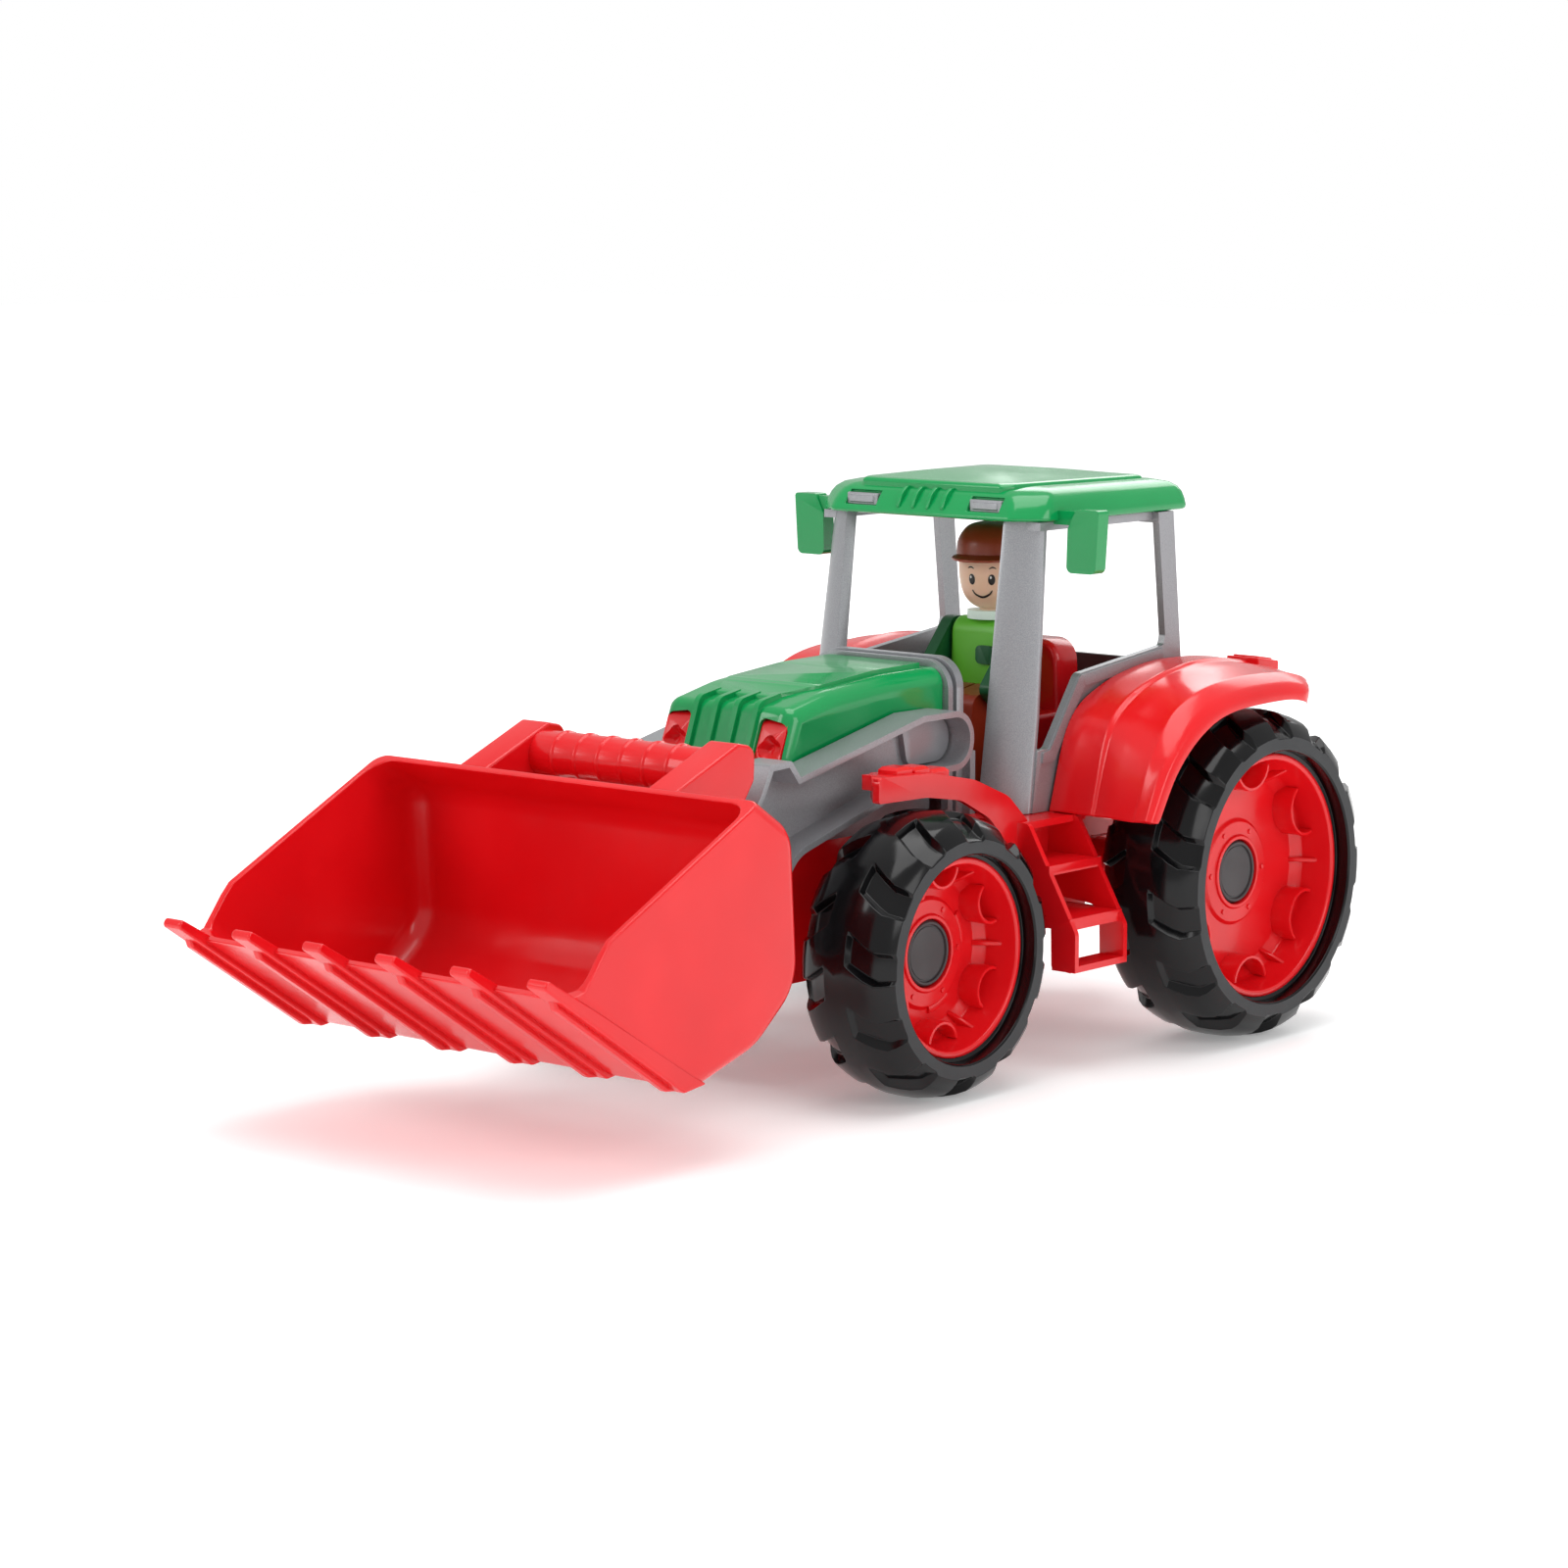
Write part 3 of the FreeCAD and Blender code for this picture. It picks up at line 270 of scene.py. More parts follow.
# %% Drawn steel for the axles
steel = bpy.data.materials.new("axle_steel")
steel.use_nodes = True
steel_tree = steel.node_tree
steel_shader = steel_tree.nodes["Principled BSDF"]
steel_shader.inputs["Metallic"].default_value = 1.0
scratches = link_noise(steel_tree, 900.0, 5.0, 0.7)
steel_colours = blend_colours(steel_tree, scratches, [(0.3, (0.45, 0.45, 0.46)), (0.7, (0.6, 0.6, 0.6))])
steel_tree.links.new(steel_colours, steel_shader.inputs["Base Color"])
steel_tree.links.new(map_range(steel_tree, scratches, 0.22, 0.38), steel_shader.inputs["Roughness"])
print("steel has", len(steel_tree.nodes), "nodes")

# %% Paint the frame parts
finish_of_slot = {"red_plastic": red_plastic, "green_plastic": green_plastic, "silver_plastic": silver_plastic,
                  "tyre_black": black_plastic, "dark_plastic": dark_plastic, "steel": steel, "skin": skin_plastic,
                  "cap_brown": cap_plastic, "trouser_brown": trouser_plastic, "shirt_green": shirt_plastic,
                  "sleeve_green": sleeve_plastic, "collar_white": collar_plastic}
slot_of_node = {row["node"]: row["material_slot"] for row in frame["record"]["subparts"]}
body_of_node = {node: body for body, members in frame["record"]["behaviour"]["bodies"].items()
                for node in members}
for node, slot in slot_of_node.items():
    for material_slot in frame["nodes"][node].material_slots:
        material_slot.material = finish_of_slot[slot]
print("painted", len(slot_of_node), "frame parts")

# %% [markdown]
# ## Helpers for making pieces
#
# A piece's mesh is built in place, so its object stays at the origin. `make_piece` turns a bmesh into a
# finished object: it welds, points the faces outwards, shades smooth up to a chosen angle, parents the piece
# to the empty of the body it rides on, and hides the frame part it stands for. Most shapes here are tubes: closed
# loops of points joined one after the other. A prism is a tube with two loops. A hollow or a window is cut
# with a boolean, whose result goes back to a bmesh so that it can be bevelled with the rest.

# %% Make a piece


def settle(bm, name):
    """A bmesh turned into a plain mesh."""
    mesh = bpy.data.meshes.new(name)
    bm.to_mesh(mesh)
    bm.free()
    return mesh


def make_piece(name, bm, finishes, body, stands_for=(), crease=35.0, weld=1e-6):
    """A finished object from a bmesh; crease is in degrees."""
    if weld:
        bmesh.ops.remove_doubles(bm, verts=bm.verts, dist=weld)
    bmesh.ops.recalc_face_normals(bm, faces=bm.faces)
    mesh = settle(bm, name)
    for finish in finishes:
        mesh.materials.append(finish)
    mesh.shade_smooth()
    mesh.set_sharp_from_angle(angle=math.radians(crease))
    piece = bpy.data.objects.new(name, mesh)
    bpy.context.scene.collection.objects.link(piece)
    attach(piece, body)
    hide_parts(*stands_for)
    return piece


def add_bevel(piece, width, segments=3, angle=32.0):
    """Rounded edges, as a mould leaves them; width is in millimetres, angle in degrees."""
    bevel = piece.modifiers.new("moulded_edges", "BEVEL")
    bevel.width = width * MM
    bevel.segments = segments
    bevel.limit_method = "ANGLE"
    bevel.angle_limit = math.radians(angle)
    bevel.harden_normals = True
    return piece


# %% Outlines, tubes and prisms


def rounded_profile(points, segments=4):
    """A profile whose corners with a third number, a radius, are turned into arcs."""
    result = []
    count = len(points)
    for i, point in enumerate(points):
        here = Vector(point[:2])
        radius = point[2] if len(point) > 2 else 0
        if not radius:
            result.append(tuple(here))
            continue
        a = (Vector(points[i - 1][:2]) - here).normalized()
        b = (Vector(points[(i + 1) % count][:2]) - here).normalized()
        half = a.angle(b) / 2
        reach = radius / math.tan(half)
        centre = here + (a + b).normalized() * (radius / math.sin(half))
        start, stop = here + a * reach - centre, here + b * reach - centre
        sweep = start.angle_signed(stop)
        for k in range(segments + 1):
            t = sweep * k / segments
            c, s = math.cos(-t), math.sin(-t)
            result.append((centre.x + start.x * c - start.y * s, centre.y + start.x * s + start.y * c))
    return result


def skin_rows(bm, rows, material_index=0, capped=True):
    """Faces between rows of vertices that each close on themselves, and a cap at both ends."""
    count = len(rows[0])
    for a, b in zip(rows, rows[1:]):
        for k in range(count):
            n = (k + 1) % count
            bm.faces.new((a[k], a[n], b[n], b[k])).material_index = material_index
    if capped:
        bm.faces.new(list(reversed(rows[0]))).material_index = material_index
        bm.faces.new(rows[-1]).material_index = material_index
    return bm


def add_tube(bm, loops, material_index=0):
    """Closed loops of points, in millimetres, joined one after the other, with both ends capped."""
    return skin_rows(bm, [[bm.verts.new([c * MM for c in p]) for p in loop] for loop in loops], material_index)


def add_prism(bm, axis, start, stop, outline):
    """A flat outline carried along an axis; outline holds (u, v) or (u, v, corner radius)."""
    flat = rounded_profile(outline, 5)
    spots = {"x": lambda d, u, v: (d, u, v), "z": lambda d, u, v: (u, v, d)}[axis]
    return add_tube(bm, [[spots(d, u, v) for u, v in flat] for d in (start, stop)])


print("a rounded square has", len(rounded_profile([(0, 0, 1), (4, 0, 1), (4, 4, 1), (0, 4, 1)])), "points")

# %% Mirror images and cut-outs


def mirror_copy(bm):
    """Flip a finished bmesh to the toy's right-hand side."""
    bmesh.ops.scale(bm, vec=(-1, 1, 1), verts=bm.verts)
    bmesh.ops.reverse_faces(bm, faces=bm.faces)
    return bm


def cut_away(bm, cutters):
    """A bmesh with closed cutter bmeshes taken out of it."""
    objects = []
    for shape in [bm] + cutters:
        bmesh.ops.recalc_face_normals(shape, faces=shape.faces)
        objects.append(bpy.data.objects.new("cutting", settle(shape, "cutting")))
        bpy.context.scene.collection.objects.link(objects[-1])
    for cutter in objects[1:]:
        boolean = objects[0].modifiers.new("cut", "BOOLEAN")
        boolean.object = cutter
        boolean.solver = "EXACT"
    result = bmesh.new()
    mesh = bpy.data.meshes.new_from_object(objects[0].evaluated_get(bpy.context.evaluated_depsgraph_get()))
    result.from_mesh(mesh)
    for item in objects:
        bpy.data.objects.remove(item)
    return result

def take_in(bm, mesh):
    """Add a plain mesh to a bmesh, and drop the mesh."""
    bm.from_mesh(mesh)
    bpy.data.meshes.remove(mesh)


cube_test = cut_away(add_prism(bmesh.new(), "x", 0, 10, [(0, 0), (10, 0), (10, 10), (0, 10)]),
                     [add_prism(bmesh.new(), "x", -1, 11, [(3, 3), (7, 3), (7, 7), (3, 7)])])
print("a holed cube of", round(cube_test.calc_volume() * 1e9), "cubic mm")
cube_test.free()

# %% [markdown]
# ## Rounded copies of the frame parts
#
# A frame part arrives as loose triangles with knife edges. Its copy is welded, its flat faces are merged,
# and a bevel rounds each hard edge by about half a millimetre, which is what catches the light. Merged faces
# with many corners are split again, because a bevel can tear a large flat face that isn't convex. Modelling
# these parts a second time would give the same shape, so a copy is the better way.

# %% Round a frame part


def rounded(node, radius, segments=3, angle=32.0, reshape=None):
    """A welded, bevelled copy of a frame part that stands for it."""
    bm = bmesh.new()
    bm.from_mesh(frame["nodes"][node].data)
    bmesh.ops.remove_doubles(bm, verts=bm.verts, dist=2e-6)
    if reshape:
        bm = reshape(bm)
    bmesh.ops.dissolve_limit(bm, angle_limit=math.radians(0.6), verts=bm.verts, edges=bm.edges)
    bmesh.ops.triangulate(bm, faces=[f for f in bm.faces if len(f.verts) > 4])
    finish = finish_of_slot[slot_of_node[node]]
    piece = make_piece(node + "_moulding", bm, [finish], body_of_node[node], (node,), weld=0)
    return add_bevel(piece, radius, segments, angle)


# %% [markdown]
# ## Two parts that are reshaped
#
# Each front mudguard carries three low pads and a small end wall. They are softer than the frame part's, so
# its own are cut off and new ones are added. The nose has a headlight in each window of the hood: a block
# nearly flush with the hood, with a three-sided dish cut into it.

# %% Mudguard pads
PAD_SINK = 0.9


def trimmed_step(bm):
    """The side moulding with its three pads made again, further back and softer."""
    room = add_prism(bmesh.new(), "x", 38, 53, [
        (-20, 92.05), (4, 91.1), (14, 89.55), (18, 88.6), (18, 100), (-20, 100)])
    result = cut_away(bm, [room])
    add_prism(result, "z", 84.8, 91.6, [
        (50.3, -19.3, 0.6), (48.2, -19.3, 0.6), (40.2, -10.7), (41.8, -9.2), (48.6, -16.6), (50.3, -16.6)])
    for start, stop, top in ((-8.5, -1.8, 93.4), (-0.6, 6.0, 92.8), (7.2, 15.0, 91.4)):
        foot, face = (41.2, 48.2, start, stop), (42.0, 47.2, start + PAD_SINK, stop - PAD_SINK)
        levels = ((foot, 88.6), (foot, top - PAD_SINK), (face, top))
        add_tube(result, [[(x, a, z), (x2, a, z), (x2, b, z), (x, b, z)] for (x, x2, a, b), z in levels])
    return result


# %% Headlights
LIGHT_X, LIGHT_Z, LIGHT_FRONT = 17.9, 99.2, -29.0


def nose_with_lights(bm):
    """The engine's red front, with a faceted headlight dish in each window of the hood."""
    for side in (-1, 1):
        low, high = sorted((side * 13.3, side * 22.6))
        block = add_prism(bmesh.new(), "x", low, high, [
            (-21, 84.5), (-29.8, 84.5), (-29.8, 96, 10), (-25.7, 106.4, 3), (-21, 106.4)])
        turns = [2 * math.pi * k / 24 for k in range(24)]
        rings = []
        for reach, depth, star in ((4.4, -8.0, 0.0), (4.4, 0.2, 0.0), (2.6, 1.7, 0.55), (0.4, 2.7, 0.1)):
            rings.append([(side * LIGHT_X + reach * math.cos(a), LIGHT_FRONT + depth + star * math.cos(3 * a + 0.5),
                           LIGHT_Z + reach * math.sin(a)) for a in turns])
        take_in(bm, settle(cut_away(block, [add_tube(bmesh.new(), rings)]), "headlight"))
    return bm


# %% Round the plain mouldings
rounding = {
    "chassis": 0.5, "front_axle_beam": 0.5, "rear_axle_beam": 0.5, "engine_frame": 0.6, "hood": 0.5,
    "cowl": 0.5, "cab_side_left": 0.7, "cab_side_right": 0.7, "cab_tub": 0.5, "seat": 0.6,
    "roof_lamps": 0.3, "mirror_left": 0.5, "mirror_right": 0.5, "loader_arm_left": 0.45,
    "loader_arm_right": 0.45, "loader_crossbar": 0.4, "lift_pins": 0.4, "tilt_pins": 0.3,
    "handle_bracket_left": 0.6, "handle_bracket_right": 0.6, "handle_grip": 0.3, "driver_torso": 0.5,
    "driver_legs": 0.5, "driver_collar": 0.4, "driver_arm_left": 0.5, "driver_arm_right": 0.5,
    "driver_badge": 0.25}
for node, radius in rounding.items():
    rounded(node, radius)
rounded("nose", 0.5, reshape=nose_with_lights)
rounded("step_left", 0.8, reshape=trimmed_step)
rounded("step_right", 0.8, reshape=lambda bm: mirror_copy(trimmed_step(mirror_copy(bm))))
print("rounded", len(rounding), "mouldings")

# %% [markdown]
# ## Patterns that repeat
#
# Tyre bars, ribs and knobs repeat round an axle, and the bucket's teeth and the roof's flutes stand in a
# row. Copies placed by hand would need their angles worked out one by one, so Geometry Nodes place them by
# rule. Both trees lay points on a line, put one copy of the incoming shape on each, make the copies real
# mesh and give them one finish. In the ring tree all points share one spot and copy k is turned by k steps
# about X. In the row tree the points are a step apart. The result is kept as plain mesh.

# %% A tree that copies a shape


def copying_tree(name, own_inputs):
    """A tree that copies its Shape onto a line of points, and its nodes by name."""
    tree = bpy.data.node_groups.new(name, "GeometryNodeTree")
    for label, kind in (("Shape", "Geometry"), ("Copies", "Int"), *own_inputs, ("Finish", "Material")):
        tree.interface.new_socket(label, in_out="INPUT", socket_type="NodeSocket" + kind)
    tree.interface.new_socket("Copied Shape", in_out="OUTPUT", socket_type="NodeSocketGeometry")
    kinds = {"inputs": "NodeGroupInput", "line": "GeometryNodeMeshLine", "copies": "GeometryNodeInstanceOnPoints",
             "real": "GeometryNodeRealizeInstances", "paint": "GeometryNodeSetMaterial",
             "outputs": "NodeGroupOutput"}
    nodes = {label: tree.nodes.new(kind) for label, kind in kinds.items()}
    for source, output, target, into in (
            ("inputs", "Copies", "line", "Count"), ("inputs", "Shape", "copies", "Instance"),
            ("line", "Mesh", "copies", "Points"), ("copies", "Instances", "real", "Geometry"),
            ("real", "Geometry", "paint", "Geometry"), ("inputs", "Finish", "paint", "Material"),
            ("paint", "Geometry", "outputs", "Copied Shape")):
        tree.links.new(nodes[source].outputs[output], nodes[target].inputs[into])
    return tree, nodes


def repeated(bm, tree, settings):
    """The plain mesh that a tree makes from a bmesh; settings holds a value for each named input."""
    holder = bpy.data.objects.new("one_copy", settle(bm, "one_copy"))
    bpy.context.scene.collection.objects.link(holder)
    modifier = holder.modifiers.new("copies", "NODES")
    modifier.node_group = tree
    for socket in tree.interface.items_tree:
        if socket.name in settings:
            modifier[socket.identifier] = settings[socket.name]
    result = bpy.data.meshes.new_from_object(holder.evaluated_get(bpy.context.evaluated_depsgraph_get()))
    bpy.data.objects.remove(holder)
    return result


# %% The ring tree
ring_tree, ring_nodes = copying_tree("copies_round_an_axle", [("First Angle", "Float")])
ring_nodes["line"].inputs["Offset"].default_value = (0, 0, 0)
index = ring_tree.nodes.new("GeometryNodeInputIndex")
step = ring_tree.nodes.new("ShaderNodeMath")
step.operation = "DIVIDE"
step.inputs[0].default_value = 2 * math.pi
turn = ring_tree.nodes.new("ShaderNodeMath")
turn.operation = "MULTIPLY_ADD"
angles = ring_tree.nodes.new("ShaderNodeCombineXYZ")
wire = ring_tree.links.new
wire(ring_nodes["inputs"].outputs["Copies"], step.inputs[1])
wire(index.outputs["Index"], turn.inputs[0])
wire(step.outputs[0], turn.inputs[1])
wire(ring_nodes["inputs"].outputs["First Angle"], turn.inputs[2])
wire(turn.outputs[0], angles.inputs["X"])
wire(angles.outputs["Vector"], ring_nodes["copies"].inputs["Rotation"])


def ring_of(bm, copies, finish, first_angle=0.0):
    """Copies of a bmesh all round the X axis; first_angle is in degrees."""
    return repeated(bm, ring_tree, {
        "Copies": copies, "First Angle": math.radians(first_angle), "Finish": finish})


print("ring tree has", len(ring_tree.nodes), "nodes")

# %% The row tree
row_tree, row_nodes = copying_tree("copies_along_a_line", [("First", "Vector"), ("Step", "Vector")])
row_tree.links.new(row_nodes["inputs"].outputs["First"], row_nodes["line"].inputs["Start Location"])
row_tree.links.new(row_nodes["inputs"].outputs["Step"], row_nodes["line"].inputs["Offset"])


def row_of(bm, copies, first, step, finish):
    """Copies of a bmesh in a straight row; first and step are in millimetres."""
    return repeated(bm, row_tree, {
        "Copies": copies, "First": [c * MM for c in first], "Step": [c * MM for c in step], "Finish": finish})


print("row tree has", len(row_tree.nodes), "nodes")

# %% [markdown]
# ## Wheels
#
# A tyre is one hard, glossy black moulding. Its crown is cut by grooves that run in from each shoulder at a
# slant and stop short of the middle, so wide bars are left between them, and the grooves of one side fall
# between those of the other. A whole tyre is a pattern that repeats 12 or 14 times, so one sector is laid
# out as a grid of radii, copied round the axle and welded. The outer face is a flat matt ring.

# %% Surfaces of revolution


def lathe(profile, segments):
    """A band of revolution about X from (x, radius) points; a closed profile ends where it starts."""
    bm = bmesh.new()
    turns = [2 * math.pi * k / segments for k in range(segments)]
    rings = [[bm.verts.new((x * MM, r * MM * math.sin(a), r * MM * math.cos(a))) for a in turns]
             for x, r in profile]
    return skin_rows(bm, rings, capped=False)


# %% A tyre from one sector
SIDE_RING = 3.4
groove_phases = (0.0, 0.06, 0.25, 0.41, 0.47)


def tyre_mesh(x_in, x_out, radius, hole, copies):
    """A whole tyre: one sector with a groove on each side of the tread, copied round the axle and welded."""
    ring_r = hole + SIDE_RING
    middle = (x_in + x_out) / 2
    pitch = 2 * math.pi / copies
    # Depth in from the face, then the radius on a bar and in a groove.
    tread = [(0.0, ring_r + 1.0, ring_r + 0.3), (0.7, ring_r + 2.3, ring_r + 0.9),
             (2.2, radius - 3.7, radius - 6.4), (4.2, radius - 2.2, radius - 5.0),
             (7.0, radius - 1.1, radius - 3.9), (9.8, radius - 0.5, radius - 3.0),
             (12.2, radius - 0.2, radius - 2.2), (12.9, radius - 0.15, radius - 0.15)]
    stations = [(x_out - depth, lug, groove, 1) for depth, lug, groove in tread]
    stations += [(middle, radius, radius, 0)]
    stations += [(x_in + depth, lug, groove, -1) for depth, lug, groove in reversed(tread)]
    plain = [(x_in, hole + 2.0), (x_in + 0.5, hole + 1.2), (x_in + 2.2, hole - 1.2), (x_out - 5.0, hole - 1.2),
             (x_out - 4.6, hole), (x_out - 0.5, hole), (x_out, hole + 0.5)]
    phases = sorted([*groove_phases, *(0.5 + p for p in groove_phases), 0.485, 0.985, 1.0])
    bm = bmesh.new()
    columns = []
    for phase in phases:
        column = []
        for x, lug, groove, side in stations:
            shift = 0.5 if side < 0 else 0.0
            own = (phase - shift) % 1.0
            floor = groove_phases[1] - 1e-6 <= own <= groove_phases[3] + 1e-6
            r = groove if side and floor else lug
            along = abs(x - middle) / (x_out - middle)
            slant = 0.22 - 0.36 * min(along, 0.72) / 0.72
            column.append((x, r, phase + slant * min(1.0, along / 0.2)))
        columns.append(column + [(x, r, phase) for x, r in plain])
    grid = [[bm.verts.new((x * MM, r * MM * math.sin(a * pitch), r * MM * math.cos(a * pitch)))
             for x, r, a in column] for column in columns]
    skin_rows(bm, grid, capped=False)
    whole = bmesh.new()
    take_in(whole, ring_of(bm, copies, black_plastic))
    bmesh.ops.remove_doubles(whole, verts=whole.verts, dist=5e-6)
    for face in whole.faces:
        on_side = min(v.co.x for v in face.verts) > (x_out - 0.02) * MM
        face.material_index = 1 if on_side else 0
    bmesh.ops.recalc_face_normals(whole, faces=whole.faces)
    return whole


# %% [markdown]
# ## Rims and hub covers
#
# The rim is a deep red dish with a rolled lip. Six curved walls stand where the disc meets the barrel, with
# six small ribs and six round knobs between them, and the front rims have four raised bows near the hub. The
# dish is a surface of revolution, and the ring tree places the rest. A flat dark cover closes the hub.

# %% The dished rim


def crescent(disc_x, radius, size, height):
    """A thin curved wall that stands in the corner between the disc and the barrel."""
    bm = bmesh.new()
    steps = 12
    foot, shoulder, top = disc_x - 0.6, disc_x + height - 0.5, disc_x + height
    section = ((0.0, foot), (0.0, shoulder), (0.25, top), (1.0, top), (1.25, shoulder), (1.25, foot))
    rows = []
    for k in range(steps + 1):
        angle = math.pi * (0.04 + 0.92 * k / steps)
        ring = []
        for thick, x in section:
            r = size - thick
            y = -r * math.cos(angle)
            z = radius - size * 0.12 - r * 0.95 * math.sin(angle)
            ring.append(bm.verts.new((x * MM, y * MM, z * MM)))
        rows.append(ring)
    skin_rows(bm, rows)
    bmesh.ops.recalc_face_normals(bm, faces=bm.faces)
    return bm


def small_rib(disc_x, radius, depth):
    """A closed block that rises from the disc to the barrel, with soft edges."""
    foot = [(disc_x - 0.5, y, radius - z) for y, z in ((-0.8, 7.6), (0.8, 7.6), (0.8, 2.6), (-0.8, 2.6))]
    low, high = disc_x + depth * 0.30, disc_x + depth * 0.62
    top = [(low, -0.6, radius - 5.4), (low, 0.6, radius - 5.4), (high, 0.6, radius - 2.6),
           (high, -0.6, radius - 2.6)]
    bm = add_tube(bmesh.new(), [foot, top])
    bmesh.ops.recalc_face_normals(bm, faces=bm.faces)
    bmesh.ops.bevel(bm, geom=list(bm.edges), offset=0.3 * MM, segments=2, affect="EDGES", profile=0.5)
    return bm


def rim_mesh(x_in, lip_x, disc_x, radius, bows):
    """The red wheel: lip, barrel, disc, hub step and the small features round them."""
    profile = rounded_profile([
        (x_in + 2, radius - 2.2), (x_in + 2, radius), (lip_x, radius, 0.7), (lip_x, radius - 2.0, 0.9),
        (disc_x + 2.2, radius - 3.6, 2.4), (disc_x, radius - 6.6, 1.4), (disc_x, 16.2, 0.6),
        (disc_x + 1.1, 15.3, 0.5), (disc_x + 1.1, 11.3, 0.3), (disc_x + 1.9, 11.0, 0.4),
        (disc_x + 1.9, 9.9, 0.3), (disc_x - 1.0, 9.7), (disc_x - 3.6, 9.7), (disc_x - 3.6, 2.1),
        (x_in + 0.6, 2.1), (x_in + 0.6, 5.0), (disc_x - 5.4, 5.0), (disc_x - 5.4, 13.0),
        (disc_x - 2.0, 15.0), (disc_x - 2.0, radius - 6.8, 1.0)])
    bm = lathe(profile + profile[:1], 120)
    depth = lip_x - disc_x
    knob_r, knob_at = 0.9, 13.4
    twelfths = [k * math.pi / 6 for k in range(12)]
    knob = [(disc_x + 0.9, knob_r * math.cos(a), knob_at + knob_r * math.sin(a)) for a in twelfths]
    knob_top = [(disc_x + 1.5, 0.7 * y / knob_r, knob_at + (z - knob_at) * 0.75) for x, y, z in knob]
    bow_section = ((-0.4, 15.0), (0.6, 15.2), (0.9, 16.4), (0.6, 17.6), (-0.4, 17.8))
    bow = [[(disc_x + h, r * math.sin(a), r * math.cos(a)) for h, r in bow_section]
           for a in (math.radians(-16 + 4 * k) for k in range(9))]
    pieces = [(crescent(disc_x, radius - 2.6, radius * 0.235, depth * 0.55), 6, 0.0),
              (small_rib(disc_x, radius, depth), 6, 30.0),
              (add_tube(bmesh.new(), [knob, knob_top]), 6, 30.0)]
    if bows:
        pieces.append((add_tube(bmesh.new(), bow), bows, 20.0))
    for shape, copies, first in pieces:
        take_in(bm, ring_of(shape, copies, red_plastic, first))
    return bm


# %% The hub cover


def cap_mesh(disc_x):
    """The flat cover at the hub, with a thin raised edge and a groove inside it."""
    face = disc_x + 1.5
    profile = rounded_profile([
        (face - 0.55, 0.0), (face - 0.55, 7.6), (face - 0.75, 7.75), (face - 0.75, 8.1), (face - 0.5, 8.2),
        (face - 0.1, 8.3, 0.2), (face, 9.0, 0.3), (face - 0.8, 9.5, 0.3), (disc_x - 2.2, 9.5),
        (disc_x - 2.2, 8.0), (disc_x - 0.3, 8.0), (disc_x - 0.3, 0.0)])
    return lathe(profile, 72)


# %% Put the wheels in place
LIP_BACK = 4.3
wheel_plan = {"front": dict(copies=12, disc_back=16.9, bows=4), "rear": dict(copies=14, disc_back=16.8, bows=0)}


def put_wheel(bm, centre, mirror):
    """Move a wheel mesh from the X axis to its axle; the right-hand one is a mirror image."""
    if mirror:
        mirror_copy(bm)
    bmesh.ops.translate(bm, vec=centre, verts=bm.verts)
    return bm



for end, plan in wheel_plan.items():
    low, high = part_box(end + "_left_tyre")
    rim_low, rim_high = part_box(end + "_left_rim")
    centre = Vector((0, (low.y + high.y) / 2, (rim_low.z + rim_high.z) / 2))
    x_in, x_out = low.x / MM, high.x / MM
    radius = (high.y - low.y) / 2 / MM
    rim_radius = (rim_high.y - rim_low.y) / 2 / MM
    disc_x = x_out - plan["disc_back"]
    for hand, mirror in (("left", False), ("right", True)):
        parts = {
            "tyre": (tyre_mesh(x_in, x_out, radius, rim_radius + 1.1, plan["copies"]),
                     [black_plastic, sidewall_black]),
            "rim": (rim_mesh(x_in, x_out - LIP_BACK, disc_x, rim_radius, plan["bows"]), [red_plastic]),
            "cap": (cap_mesh(disc_x), [dark_plastic])}
        for part, (bm, finishes) in parts.items():
            node = f"{end}_{hand}_{part}"
            placed = put_wheel(bm, centre, mirror)
            piece = make_piece(node + "_detailed", placed, finishes, f"{end}_{hand}_wheel", (node,), 38, 1e-7)
            if part == "tyre":
                add_bevel(piece, 0.4, 3, 24)

# %% [markdown]
# ## Rear fenders
#
# Each rear fender is a crowned band over the wheel, with two faint beads along it. Four crown lines
# run from front to tail, and a smooth curve is passed through each. At every station along them a closed
# section goes out over the top and back underneath, so the band is one thin solid from the start. A surface
# thickened by a modifier would be easier, yet its edge couldn't turn down as this one does. A cheek closes
# the band towards the cab, and a soft block is the tail lamp.

# %% Smooth curves


def smooth_curve(points, steps):
    """Catmull-Rom samples through 2-D or 3-D points."""
    points = [Vector(p) for p in points]
    guarded = [points[0] * 2 - points[1]] + points + [points[-1] * 2 - points[-2]]
    spans = len(points) - 1
    result = []
    for k in range(steps + 1):
        t = spans * k / steps
        i = min(int(t), spans - 1)
        t -= i
        p0, p1, p2, p3 = guarded[i:i + 4]
        result.append(0.5 * ((2 * p1) + (p2 - p0) * t + (2 * p0 - 5 * p1 + 4 * p2 - p3) * t ** 2
                             + (3 * p1 - p0 - 3 * p2 + p3) * t ** 3))
    return result


print("a smooth curve passes", tuple(smooth_curve([(0, 0), (4, 3), (8, 0)], 2)[1]))

